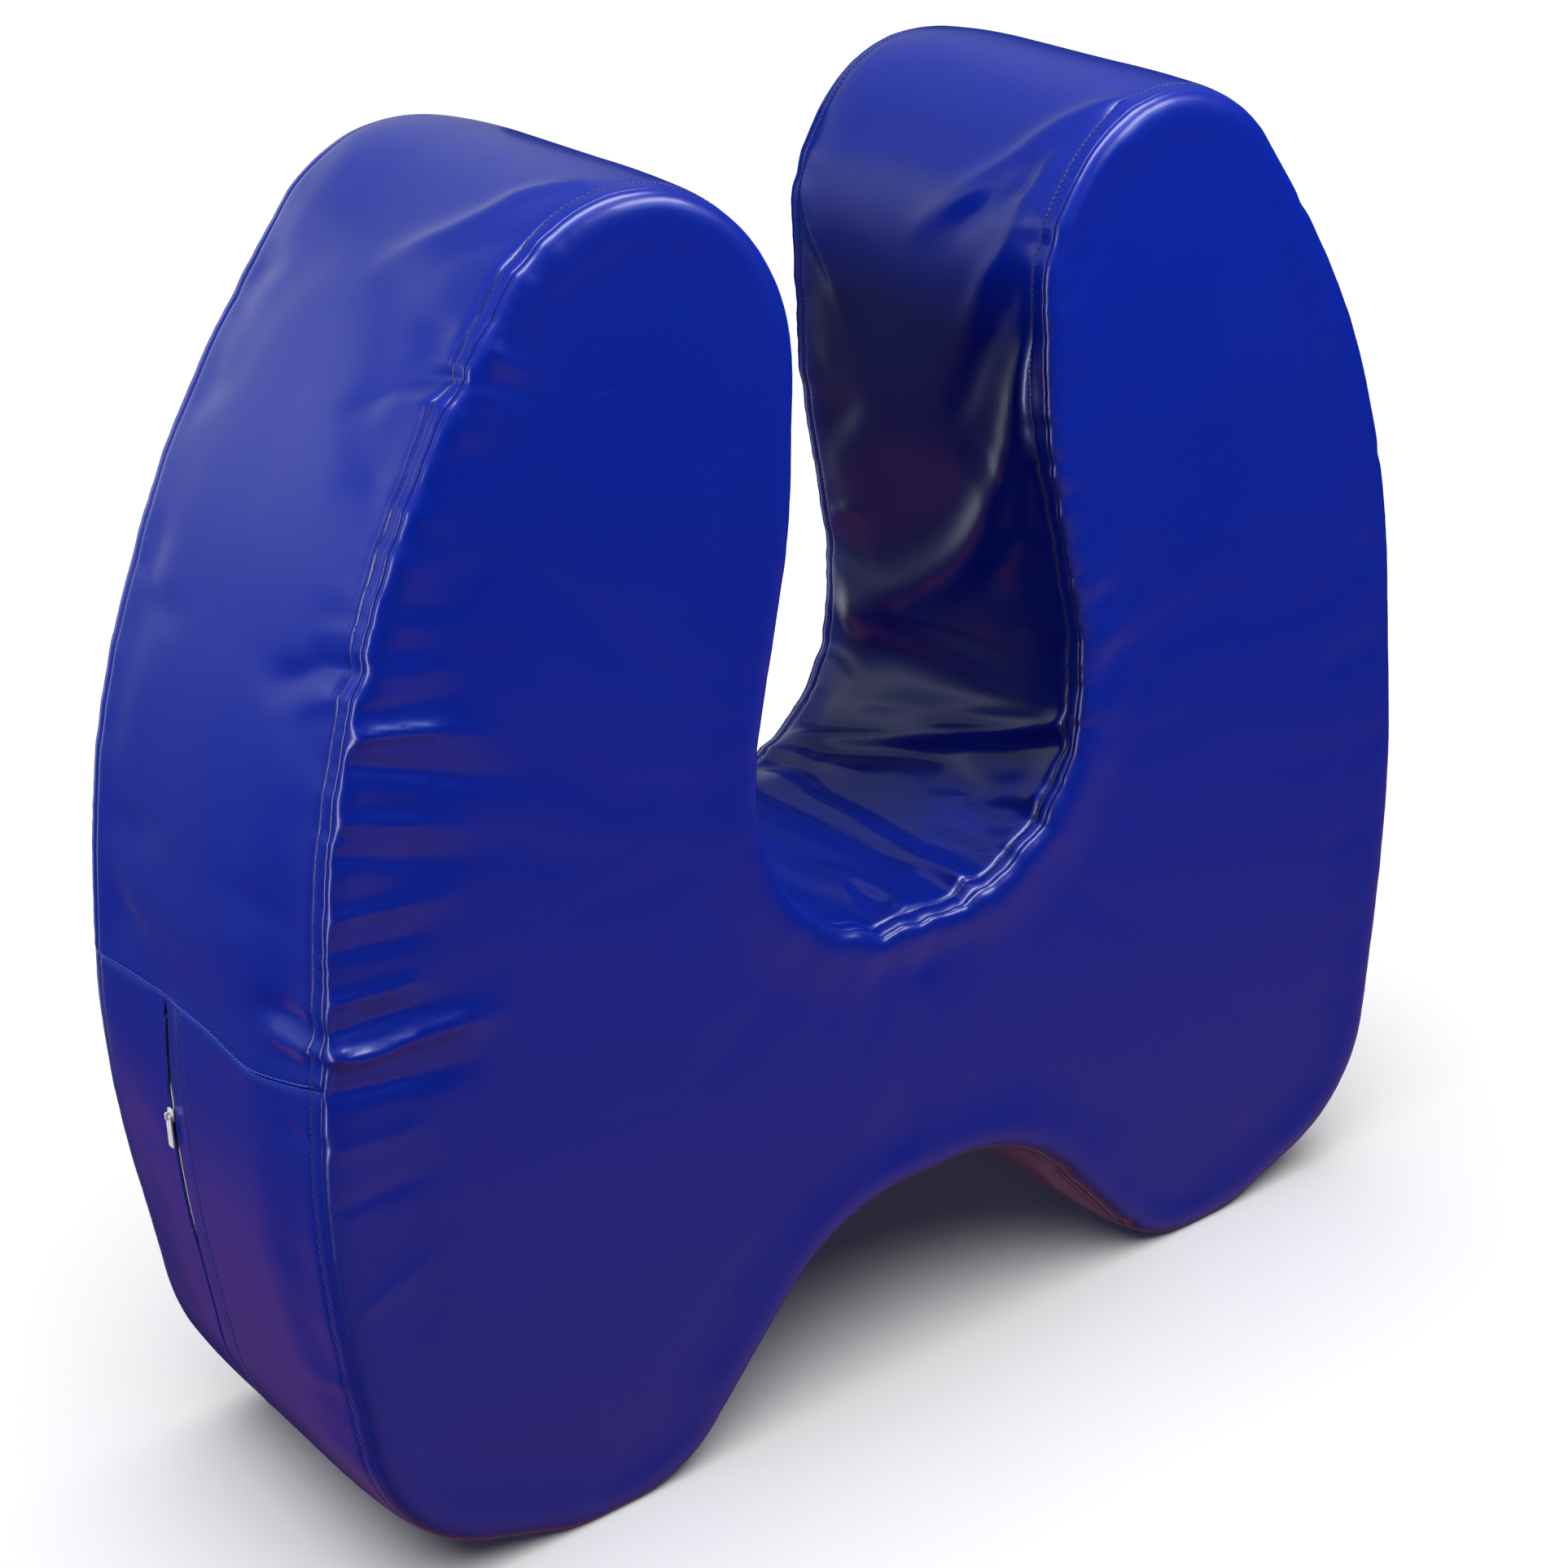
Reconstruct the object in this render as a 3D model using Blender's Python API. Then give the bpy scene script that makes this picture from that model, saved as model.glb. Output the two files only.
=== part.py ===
"""H-shaped foam squeeze seat: a contour-cut foam block in a zipped, coated-fabric cover.

The scene is in metres, +Z is up, +X is to the right and +Y is towards the back.
The origin is on the floor, under the middle of the block. Dimensions below are in mm.

The block is one closed outline in the XZ plane, carried through the depth along Y.
Everything soft is laid out from that outline with three numbers:
    s      distance along the outline,
    y      place across the depth,
    depth  how far below the cover's outer surface the point lies.
"""

import math
from bisect import bisect_left
from itertools import accumulate

import bmesh
import bpy
from mathutils import Matrix, Vector

MM = 0.001

# ---------------------------------------------------------------- outline
# Right half of the outline at the face seams: corner name, x, z, radius that rounds it.
# It runs from the middle of the slot floor, up the slot, over the lobe, down the side,
# round the foot and along the arch back to the middle.
SLOT_FLOOR_Z = 374.0
ARCH_TOP_Z = 165.0
ZIP_ARC = "side_lower"  # the zip's upper ends and the slider lie on this arc
OUTLINE = (
    ("slot_middle", 0.0, SLOT_FLOOR_Z, 0.0),
    ("slot_floor", 161.0, SLOT_FLOOR_Z, 138.0),
    ("slot_bulb", 148.0, 550.0, 114.0),
    ("slot_neck", 116.0, 691.0, 420.0),
    ("lobe_inner", 107.0, 857.0, 130.0),
    ("lobe_outer", 244.0, 988.0, 115.0),
    ("shoulder", 407.0, 772.0, 620.0),
    ("side_upper", 472.0, 588.0, 615.0),
    (ZIP_ARC, 504.0, 309.0, 823.0),
    ("heel", 473.0, 53.0, 123.0),
    ("foot_outer", 326.0, 0.0, 110.0),
    ("foot_inner", 236.0, 0.0, 100.0),
    ("arch", 91.0, ARCH_TOP_Z, 158.0),
    ("arch_middle", 0.0, ARCH_TOP_Z, 0.0),
)
ARC_SAG = 1.2  # how far a flat facet may lie inside a rounded corner
SHORTEST_FACET = 6.0
ZIP_ARC_STEP = math.radians(2.3)  # finer facets where the slider travels
SHORTEST_PIECE = 0.2  # between the end of a strip and the next facet corner
WELD = 0.002  # points closer than this are merged
SHARP_ANGLE = math.radians(30)

# ---------------------------------------------------------------- cover and foam
GAP = 0.3  # clearance between neighbouring parts
HALF_GUSSET = 147.0  # middle of the depth to a face seam
PANEL_THICK = 1.2
SKIN_THICK = 1.2
UNDER_SKIN = SKIN_THICK + GAP  # depth at which parts beneath the gusset start

LIP_WIDTH = 12.0  # seam allowance of each face panel, turned in under the gusset
LIP_END = HALF_GUSSET - LIP_WIDTH
LIP_THICK = 1.0

# The gusset is pulled in at the seams and stands proud between them: y, rise.
FLAT_HALF = 60.0
CROWN_RISE = 7.5
LIP_RISE = 2.2
CROWN = (
    (-HALF_GUSSET, 0.0),
    (-LIP_END, LIP_RISE),
    (-FLAT_HALF, CROWN_RISE),
    (FLAT_HALF, CROWN_RISE),
    (LIP_END, LIP_RISE),
    (HALF_GUSSET, 0.0),
)
FACING_DOWN = -0.05  # where the normal's z is below this, the crown is kept off the floor

SLAB_DEPTH = UNDER_SKIN + LIP_THICK + GAP
SLAB_SPLIT = FLAT_HALF  # the three foam slabs meet at y = -60 and y = +60

THREAD_WIDE = 0.8
THREAD_HIGH = 0.5
NOTCH_HALF = THREAD_WIDE / 2 + GAP
NOTCH_DEPTH = THREAD_HIGH + GAP
STITCH_INSET = 9.4  # topstitch row, in from the face seam
STITCH_ROW = HALF_GUSSET - STITCH_INSET
CROSS_SEAM_GAP = 1.4
CROSS_STITCH_HALF = STITCH_ROW - 1.6  # the cross stitch ends just short of the topstitch

# ---------------------------------------------------------------- zip
ZIP_Y = 47.0  # centre line of the zip, behind the middle of the gusset
SLIT_HALF = 2.0
LAP_ROW = ZIP_Y - 23.0  # the stitch row that holds the lap, in front of the slit
TAPE_OUTER = 15.0
TAPE_INNER = 2.7
TAPE_THICK = 0.6
TAPE_OVERRUN = 8.0  # tape beyond each end of the zip
COIL_OUTER = 2.4
COIL_INNER = 0.75
COIL_HIGH = 2.4
ZIP_END = 16.0  # the zip stops this far short of each cross seam
STOP_LONG = 3.0
GROOVE_HALF = 5.0  # relief in the foam under the slider
GROOVE_DEPTH = 6.0
GROOVE_OVERRUN = 5.0
GROOVE_RAMP = 0.5

# ---------------------------------------------------------------- slider and pull tab
# The slider's own axes: u up along the zip, v towards the back, w out of the cover.
SLIDER_Z = 317.0  # height of the slider on the left side
SLIDER_LONG = 10.0
SLIDER_WIDE = 8.0
# Plate outline as shares of half the slider's length (u) and half its width (v).
SHIELD = (
    (1.0, -0.55), (1.0, 0.55), (0.84, 0.92), (0.5, 1.0),
    (0.1, 1.0), (-0.75, 0.80), (-1.0, 0.55), (-1.0, -0.55),
    (-0.75, -0.80), (0.1, -1.0), (0.5, -1.0), (0.84, -0.92),
)
PLATE_LIFT = 0.4
PLATE_THICK = 1.5
LOWER_PLATE_TOP = UNDER_SKIN + COIL_HIGH + GAP
LOWER_PLATE_THICK = 1.0

NECK_WIDE = 0.9
NECK_SINK = 0.6  # share of each plate's thickness that the neck runs into
# Neck outline as shares of half the slider's length (u) and half the neck's width (v).
NECK = ((0.2, 0.0), (0.35, 1.0), (0.78, 1.0), (0.92, 0.0), (0.78, -1.0), (0.35, -1.0))

BAIL_WIDE = 1.6
BAIL_LEG_OUT = 3.0
BAIL_LEG_IN = 1.8
BAIL_FOOT = 1.2  # the legs start inside the upper plate
BAIL_TOP = 5.7
BAIL_OPEN = 4.5
# Points that ease each outer corner: in from the leg's outside, down from the top.
BAIL_OUTER_EASE = ((0.0, 1.0), (0.3, 0.35), (1.0, 0.0))
BAIL_INNER_EASE = 0.3

PULL_AXIS_LIFT = 3.2  # the pull tab turns about this line above the cover
PULL_LONG = 24.2
PULL_WIDE = 7.0
PULL_THICK = 1.5
PULL_CORNER = 0.8
PULL_BAR_HALF = 0.8  # the tab's end bar reaches this far either side of the axis
PULL_HOLE_END = 4.0
PULL_HOLE_HALF = 1.3
PULL_HOLE_CORNER = 0.5
CUT_MARGIN = 1.0  # the hole's cutter passes the tab by this much

SLIDER_EASE = 0.35
PULL_EASE = 0.3
EASE_SEGMENTS = 2
EASE_ANGLE = math.radians(50)

# Base colour (RGBA) and roughness.
MATERIALS = {
    "cover_blue": ((0.012, 0.028, 0.30, 1.0), 0.28),
    "foam_cream": ((0.78, 0.70, 0.48, 1.0), 0.95),
    "thread_blue": ((0.010, 0.045, 0.42, 1.0), 0.55),
    "zip_white": ((0.85, 0.85, 0.84, 1.0), 0.45),
    "tape_white": ((0.78, 0.78, 0.78, 1.0), 0.80),
}


# ---------------------------------------------------------------- the outline as a path
class Line:
    """A straight run of the outline."""

    name = None
    facets = 1

    def __init__(self, first, last):
        self.first = first
        self.along = (last - first).normalized()
        self.length = (last - first).length

    def at(self, t):
        """Point and outward normal at distance t from the start."""
        return self.first + self.along * t, Vector((-self.along.y, self.along.x))


class Arc:
    """A rounded corner of the outline. A negative sweep turns clockwise."""

    def __init__(self, name, centre, radius, first, last):
        self.name = name
        self.centre = centre
        self.radius = radius
        self.start = math.atan2(first.y - centre.y, first.x - centre.x)
        end = math.atan2(last.y - centre.y, last.x - centre.x)
        self.sweep = (end - self.start + math.pi) % (2 * math.pi) - math.pi
        self.length = radius * abs(self.sweep)
        step = ZIP_ARC_STEP if name == ZIP_ARC else 2 * math.acos(1 - ARC_SAG / radius)
        self.facets = max(1, math.ceil(abs(self.sweep) / step))

    def at(self, t):
        """Point and outward normal at distance t from the start."""
        angle = self.start + math.copysign(t / self.radius, self.sweep)
        ray = Vector((math.cos(angle), math.sin(angle)))
        return self.centre + ray * self.radius, (ray if self.sweep < 0 else -ray)


def half_path():
    """Lines and arcs of the right half, in order."""
    corners = [Vector((x, z)) for _, x, z, _ in OUTLINE]
    pieces = []
    last = corners[0]
    for before, corner, after, row in zip(corners, corners[1:], corners[2:], OUTLINE[1:]):
        name, _, _, radius = row
        back = (before - corner).normalized()
        ahead = (after - corner).normalized()
        inside = math.acos(max(-1.0, min(1.0, back.dot(ahead))))
        tangent = radius / math.tan(inside / 2)
        centre = corner + (back + ahead).normalized() * (radius / math.sin(inside / 2))
        first = corner + back * tangent
        second = corner + ahead * tangent
        pieces.append(Line(last, first))
        pieces.append(Arc(name, centre, radius, first, second))
        last = second
    pieces.append(Line(last, corners[-1]))
    return pieces


PIECES = half_path()
STARTS = list(accumulate((piece.length for piece in PIECES), initial=0.0))
HALF = STARTS[-1]
LOOP = 2 * HALF


def half_breaks():
    """Distances along the right half where the faceted outline has a corner."""
    found = [0.0]
    for start, piece in zip(STARTS, PIECES):
        for k in range(piece.facets):
            s = start + piece.length * k / piece.facets
            # The zip arc's start carries the cross seam, so it is always kept.
            seam = k == 0 and piece.name == ZIP_ARC
            if seam or s - found[-1] > SHORTEST_FACET:
                found.append(s)
    if HALF - found[-1] < SHORTEST_FACET:
        found.pop()
    return found + [HALF]


HALF_BREAKS = half_breaks()
LOOP_BREAKS = HALF_BREAKS[:-1] + [LOOP - s for s in reversed(HALF_BREAKS[1:])]

# The cross seams are at the top of the lower side arcs. The zip runs from the right one,
# round the feet and the arch, to the left one.
ZIP_ARC_INDEX = [piece.name for piece in PIECES].index(ZIP_ARC)
CROSS_RIGHT = STARTS[ZIP_ARC_INDEX]
CROSS_LEFT = LOOP - CROSS_RIGHT
ZIP_START = CROSS_RIGHT + ZIP_END
ZIP_FINISH = CROSS_LEFT - ZIP_END


def station(s):
    """Point (x, z) and outward normal (nx, nz) of the outline at distance s."""
    s = s % LOOP
    side = 1.0
    if s > HALF:
        s = LOOP - s
        side = -1.0
    i = bisect_left(STARTS, s, 1) - 1
    point, normal = PIECES[i].at(s - STARTS[i])
    return side * point.x, point.y, side * normal.x, normal.y


def stretch(s0, s1):
    """Distances from s0 to s1, with every facet corner in between. s1 may pass the loop's end."""
    corners = LOOP_BREAKS + [s + LOOP for s in LOOP_BREAKS]
    between = [s for s in corners if s0 + SHORTEST_PIECE < s < s1 - SHORTEST_PIECE]
    return [s0] + between + [s1]


LOWER_PATH = stretch(CROSS_RIGHT + CROSS_SEAM_GAP, CROSS_LEFT - CROSS_SEAM_GAP)


def crown(y):
    """How far the gusset stands proud at y."""
    for (y0, h0), (y1, h1) in zip(CROWN, CROWN[1:]):
        if y <= y1:
            return h0 + (h1 - h0) * max(0.0, y - y0) / (y1 - y0)
    return 0.0


def place(s, y, depth):
    """A point in metres. Under the feet the crown is pressed flat, to stay above the floor."""
    x, z, nx, nz = station(s)
    share = min(1.0, z / (-nz * CROWN_RISE)) if nz < FACING_DOWN else 1.0
    rise = crown(y) * share - depth
    return Vector(((x + nx * rise) * MM, y * MM, (z + nz * rise) * MM))


# ---------------------------------------------------------------- mesh helpers
def material(name):
    made = bpy.data.materials.get(name)
    if made:
        return made
    colour, roughness = MATERIALS[name]
    made = bpy.data.materials.new(name)
    made.use_nodes = True
    shader = made.node_tree.nodes["Principled BSDF"]
    shader.inputs["Base Color"].default_value = colour
    shader.inputs["Roughness"].default_value = roughness
    made.diffuse_color = colour
    return made


def finish_mesh(bm, name, colour):
    """Welds the mesh, turns its faces outwards and links it as an object."""
    bmesh.ops.remove_doubles(bm, verts=bm.verts, dist=WELD * MM)
    bmesh.ops.recalc_face_normals(bm, faces=bm.faces)
    if bm.calc_volume(signed=True) < 0:
        bmesh.ops.reverse_faces(bm, faces=bm.faces)
    mesh = bpy.data.meshes.new(name)
    bm.to_mesh(mesh)
    bm.free()
    mesh.materials.append(material(colour))
    mesh.shade_smooth()
    mesh.set_sharp_from_angle(angle=SHARP_ANGLE)
    made = bpy.data.objects.new(name, mesh)
    bpy.context.scene.collection.objects.link(made)
    return made


def add_rings(bm, rings):
    return [[bm.verts.new(point) for point in ring] for ring in rings]


def quad(bm, a_low, a_high, b_low, b_high):
    """Two triangles between stations a and b.

    The diagonal always runs the same way, so layers stay parallel."""
    bm.faces.new((a_low, b_high, b_low))
    bm.faces.new((a_low, a_high, b_high))


def close_ends(bm, rings):
    bm.faces.new(rings[0])
    bm.faces.new(list(reversed(rings[-1])))


def sweep_section(name, colour, distances, section, closed=False):
    """Carries a section, a list of (y, depth), along the outline."""
    bm = bmesh.new()
    rings = add_rings(bm, [[place(s, y, depth) for y, depth in section] for s in distances])
    pairs = list(zip(rings, rings[1:]))
    if closed:
        pairs.append((rings[-1], rings[0]))
    for a, b in pairs:
        for k in range(len(section)):
            low, high = k, (k + 1) % len(section)
            if section[high][0] < section[low][0]:
                low, high = high, low
            quad(bm, a[low], a[high], b[low], b[high])
    if not closed:
        close_ends(bm, rings)
    return finish_mesh(bm, name, colour)


def band(name, colour, distances, y0, y1, depth0, depth1, closed=False):
    """A strip of rectangular section along the outline."""
    section = [(y0, depth0), (y1, depth0), (y1, depth1), (y0, depth1)]
    return sweep_section(name, colour, distances, section, closed)


def stack_rings(name, colour, distances, levels):
    """Joins whole loops of the outline and closes the first and the last with a face.

    A level is (y, depth). Its depth is one number, or a list with one for each distance."""
    count = len(distances)
    bm = bmesh.new()
    loops = []
    for y, depth in levels:
        depths = depth if isinstance(depth, list) else [depth] * count
        loops.append([place(s, y, d) for s, d in zip(distances, depths)])
    rings = add_rings(bm, loops)
    for (low, high), (level0, level1) in zip(zip(rings, rings[1:]), zip(levels, levels[1:])):
        if level1[0] < level0[0]:
            low, high = high, low
        for k in range(count):
            m = (k + 1) % count
            quad(bm, low[k], high[k], low[m], high[m])
    close_ends(bm, rings)
    return finish_mesh(bm, name, colour)


def loft(name, colour, rings, frame=Matrix.Identity(4)):
    """Joins rings of points with four-sided faces, closes both ends, then moves it by frame."""
    bm = bmesh.new()
    rings = add_rings(bm, rings)
    for a, b in zip(rings, rings[1:]):
        for k in range(len(a)):
            m = (k + 1) % len(a)
            bm.faces.new((a[k], a[m], b[m], b[k]))
    bm.faces.new(list(reversed(rings[0])))
    bm.faces.new(rings[-1])
    bmesh.ops.transform(bm, matrix=frame, verts=bm.verts)
    return finish_mesh(bm, name, colour)


def prism(name, outline, low, high, frame):
    """A zip-white prism: an outline in (u, v), carried from w = low to w = high."""
    rings = [[Vector((u, v, w)) * MM for u, v in outline] for w in (low, high)]
    return loft(name, "zip_white", rings, frame)


def rounded(u_low, u_high, half_v, radius, steps):
    """A rounded rectangle from u_low to u_high and from v = -half_v to half_v."""
    points = []
    for centre_u, centre_v, start in (
        (u_high - radius, half_v - radius, 0.0),
        (u_low + radius, half_v - radius, 90.0),
        (u_low + radius, -half_v + radius, 180.0),
        (u_high - radius, -half_v + radius, 270.0),
    ):
        for k in range(steps + 1):
            angle = math.radians(start + 90.0 * k / steps)
            u = centre_u + radius * math.cos(angle)
            v = centre_v + radius * math.sin(angle)
            points.append((u, v))
    return points


def boolean(target, other, operation):
    """Adds a boolean modifier and hides the other object as a helper."""
    modifier = target.modifiers.new(operation.lower() + "_" + other.name, "BOOLEAN")
    modifier.operation = operation
    modifier.solver = "EXACT"
    modifier.object = other
    other.hide_render = True
    other.display_type = "WIRE"


def soften(made, width):
    modifier = made.modifiers.new("soft_edges", "BEVEL")
    modifier.width = width * MM
    modifier.segments = EASE_SEGMENTS
    modifier.limit_method = "ANGLE"
    modifier.angle_limit = EASE_ANGLE


def add_axis(name, location):
    empty = bpy.data.objects.new(name, None)
    empty.location = location
    bpy.context.scene.collection.objects.link(empty)
    return empty


def hang_on(empty, *objects):
    """Puts each object's origin on its axis and hangs it on the empty there."""
    for made in objects:
        made.data.transform(Matrix.Translation(-empty.location))
        made.parent = empty


# ---------------------------------------------------------------- foam core
def build_outer_slabs():
    inner = SLAB_SPLIT + GAP / 2
    for name, ys in (
        ("core_slab_front", (-HALF_GUSSET, -LIP_END, -inner)),
        ("core_slab_rear", (inner, LIP_END, HALF_GUSSET)),
    ):
        stack_rings(name, "foam_cream", LOOP_BREAKS, [(y, SLAB_DEPTH) for y in ys])


def build_middle_slab():
    """The middle slab, with the groove along the zip."""
    start = ZIP_START - GROOVE_OVERRUN
    finish = ZIP_FINISH + GROOVE_OVERRUN
    ends = [start - GROOVE_RAMP, start, finish, finish + GROOVE_RAMP]
    distances = sorted(LOOP_BREAKS + ends)
    groove = [GROOVE_DEPTH if start <= s <= finish else SLAB_DEPTH for s in distances]
    half = SLAB_SPLIT - GAP / 2
    levels = [
        (-half, SLAB_DEPTH),
        (ZIP_Y - GROOVE_HALF, SLAB_DEPTH),
        (ZIP_Y - GROOVE_HALF, groove),
        (ZIP_Y + GROOVE_HALF, groove),
        (ZIP_Y + GROOVE_HALF, SLAB_DEPTH),
        (half, SLAB_DEPTH),
    ]
    stack_rings("core_slab_middle", "foam_cream", distances, levels)


# ---------------------------------------------------------------- cover
def build_face_panel(name, side):
    """A face panel with its turned-in lip. side is -1 for the front and 1 for the rear."""
    face_in = side * (HALF_GUSSET + GAP)
    face_out = side * (HALF_GUSSET + GAP + PANEL_THICK)
    levels = [
        (face_out, 0.0),
        (face_in, 0.0),
        (face_in, UNDER_SKIN),
        (side * LIP_END, UNDER_SKIN),
        (side * LIP_END, UNDER_SKIN + LIP_THICK),
        (face_in, UNDER_SKIN + LIP_THICK),
    ]
    stack_rings(name, "cover_blue", LOOP_BREAKS, levels)


def build_gusset_band(name, distances, ys, stitch_rows):
    """A gusset band through the rising ys, with a shallow outer channel for each stitch row."""
    runs = [(y, [(y, 0.0)]) for y in ys]
    for row in stitch_rows:
        a, b = row - NOTCH_HALF, row + NOTCH_HALF
        runs.append((row, [(a, 0.0), (a, NOTCH_DEPTH), (b, NOTCH_DEPTH), (b, 0.0)]))
    outer = [point for _, run in sorted(runs) for point in run]
    inner = [(y, SKIN_THICK) for y in reversed(ys)]
    sweep_section(name, "cover_blue", distances, outer + inner)


def build_gusset():
    """One band above the cross seams, two below them with the zip's slit between."""
    front = [-HALF_GUSSET, -LIP_END, -FLAT_HALF]
    rear = [FLAT_HALF, LIP_END, HALF_GUSSET]
    upper = stretch(CROSS_LEFT, LOOP + CROSS_RIGHT)
    for name, distances, ys, rows in (
        ("upper_gusset_band", upper, front + rear, [-STITCH_ROW, STITCH_ROW]),
        ("lower_gusset_front", LOWER_PATH, front + [ZIP_Y - SLIT_HALF], [-STITCH_ROW, LAP_ROW]),
        ("lower_gusset_rear", LOWER_PATH, [ZIP_Y + SLIT_HALF] + rear, [STITCH_ROW]),
    ):
        build_gusset_band(name, distances, ys, rows)


# ---------------------------------------------------------------- sewing threads
def build_long_stitches():
    """Threads that run along the outline."""
    half = THREAD_WIDE / 2
    for name, y, distances, closed in (
        ("topstitch_front", -STITCH_ROW, LOOP_BREAKS, True),
        ("topstitch_rear", STITCH_ROW, LOOP_BREAKS, True),
        ("zip_lap_stitch", LAP_ROW, LOWER_PATH, False),
    ):
        band(name, "thread_blue", distances, y - half, y + half, 0.0, THREAD_HIGH, closed)


def build_cross_stitch(name, s):
    """A thread across the gusset at distance s, with a ring at each bend of the crown."""
    half = THREAD_WIDE / 2
    section = ((-half, 0.0), (half, 0.0), (half, THREAD_HIGH), (-half, THREAD_HIGH))
    ys = (-CROSS_STITCH_HALF, -LIP_END, -FLAT_HALF, FLAT_HALF, LIP_END, CROSS_STITCH_HALF)
    rings = [[place(s + ds, y, depth) for ds, depth in section] for y in ys]
    loft(name, "thread_blue", rings)


# ---------------------------------------------------------------- zip
def build_zip():
    """Tapes, coils and stops, laid under the gusset's skin."""
    tape_path = stretch(ZIP_START - TAPE_OVERRUN, ZIP_FINISH + TAPE_OVERRUN)
    coil_path = stretch(ZIP_START + STOP_LONG + GAP, ZIP_FINISH - STOP_LONG - GAP)
    left_stop = stretch(ZIP_FINISH - STOP_LONG, ZIP_FINISH)
    right_stop = stretch(ZIP_START, ZIP_START + STOP_LONG)
    coil_floor = UNDER_SKIN + COIL_HIGH
    tape_floor = UNDER_SKIN + TAPE_THICK
    for name, colour, path, inner, outer, floor in (
        ("zip_tape", "tape_white", tape_path, TAPE_INNER, TAPE_OUTER, tape_floor),
        ("zip_coil", "zip_white", coil_path, COIL_INNER, COIL_OUTER, coil_floor),
        ("zip_top_stop", "zip_white", left_stop, GAP / 2, COIL_OUTER, coil_floor),
    ):
        front = (ZIP_Y - outer, ZIP_Y - inner)
        rear = (ZIP_Y + inner, ZIP_Y + outer)
        band(name + "_front", colour, path, *front, UNDER_SKIN, floor)
        band(name + "_rear", colour, path, *rear, UNDER_SKIN, floor)
    across = (ZIP_Y - COIL_OUTER, ZIP_Y + COIL_OUTER)
    band("zip_bottom_stop", "zip_white", right_stop, *across, UNDER_SKIN, coil_floor)


# ---------------------------------------------------------------- slider and pull tab
def build_bail(frame):
    """An arch in the (u, w) plane, carried across v."""
    ease = BAIL_INNER_EASE
    low_u = [(-BAIL_LEG_OUT + inward, BAIL_TOP - down) for inward, down in BAIL_OUTER_EASE]
    high_u = [(-u, w) for u, w in reversed(low_u)]
    arch = [(-BAIL_LEG_OUT, BAIL_FOOT)] + low_u + high_u
    arch += [
        (BAIL_LEG_OUT, BAIL_FOOT),
        (BAIL_LEG_IN, BAIL_FOOT),
        (BAIL_LEG_IN, BAIL_OPEN - ease),
        (BAIL_LEG_IN - ease, BAIL_OPEN),
        (-BAIL_LEG_IN + ease, BAIL_OPEN),
        (-BAIL_LEG_IN, BAIL_OPEN - ease),
        (-BAIL_LEG_IN, BAIL_FOOT),
    ]
    stand_up = Matrix(((1, 0, 0, 0), (0, 0, -1, 0), (0, 1, 0, 0), (0, 0, 0, 1)))
    return prism("slider_bail", arch, -BAIL_WIDE / 2, BAIL_WIDE / 2, frame @ stand_up)


def build_slider(frame, axis):
    """The upper plate, joined with the neck, the lower plate and the bail."""
    half_long = SLIDER_LONG / 2
    half_wide = SLIDER_WIDE / 2
    shield = [(u * half_long, v * half_wide) for u, v in SHIELD]
    neck_outline = [(u * half_long, v * NECK_WIDE / 2) for u, v in NECK]
    neck_low = -LOWER_PLATE_TOP - LOWER_PLATE_THICK * NECK_SINK
    neck_high = PLATE_LIFT + PLATE_THICK * NECK_SINK
    lower_floor = -LOWER_PLATE_TOP - LOWER_PLATE_THICK

    slider = prism("slider_body", shield, PLATE_LIFT, PLATE_LIFT + PLATE_THICK, frame)
    lower_plate = prism("slider_lower_plate", shield, lower_floor, -LOWER_PLATE_TOP, frame)
    neck = prism("slider_neck", neck_outline, neck_low, neck_high, frame)
    bail = build_bail(frame)
    soften(slider, SLIDER_EASE)
    for other in (neck, lower_plate, bail):
        boolean(slider, other, "UNION")
    hang_on(axis, slider, lower_plate, neck, bail)


def build_pull_tab(frame, axis):
    """The tab hangs down from its axis. The hole leaves a bar under the bail."""
    low = PULL_AXIS_LIFT - PULL_THICK / 2
    high = low + PULL_THICK
    tab_outline = rounded(-PULL_LONG, PULL_BAR_HALF, PULL_WIDE / 2, PULL_CORNER, steps=4)
    hole_outline = rounded(
        -PULL_HOLE_END, -PULL_BAR_HALF, PULL_HOLE_HALF, PULL_HOLE_CORNER, steps=3
    )
    tab = prism("pull_tab", tab_outline, low, high, frame)
    hole = prism("pull_tab_hole", hole_outline, low - CUT_MARGIN, high + CUT_MARGIN, frame)
    boolean(tab, hole, "DIFFERENCE")
    soften(tab, PULL_EASE)
    hang_on(axis, tab, hole)


def build_slider_and_pull():
    """The zip's upper left end is an arc, so the slider turns about that arc's centre."""
    arc = PIECES[ZIP_ARC_INDEX]
    centre = Vector((-arc.centre.x, ZIP_Y, arc.centre.y))
    radius = arc.radius + crown(ZIP_Y)
    angle = math.asin((SLIDER_Z - centre.z) / radius)
    out = Vector((-math.cos(angle), 0.0, math.sin(angle)))
    up = Vector((math.sin(angle), 0.0, math.cos(angle)))
    back = Vector((0.0, 1.0, 0.0))
    spot = centre * MM + out * (radius * MM)
    frame = Matrix.Translation(spot) @ Matrix((up, back, out)).transposed().to_4x4()

    travel_axis = add_axis("slider_travel_axis", centre * MM)
    pull_axis = add_axis("pull_tab_axis", spot + out * (PULL_AXIS_LIFT * MM))
    # Brings the world matrices of the two empties up to date.
    bpy.context.view_layer.update()
    build_slider(frame, travel_axis)
    build_pull_tab(frame, pull_axis)


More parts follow.
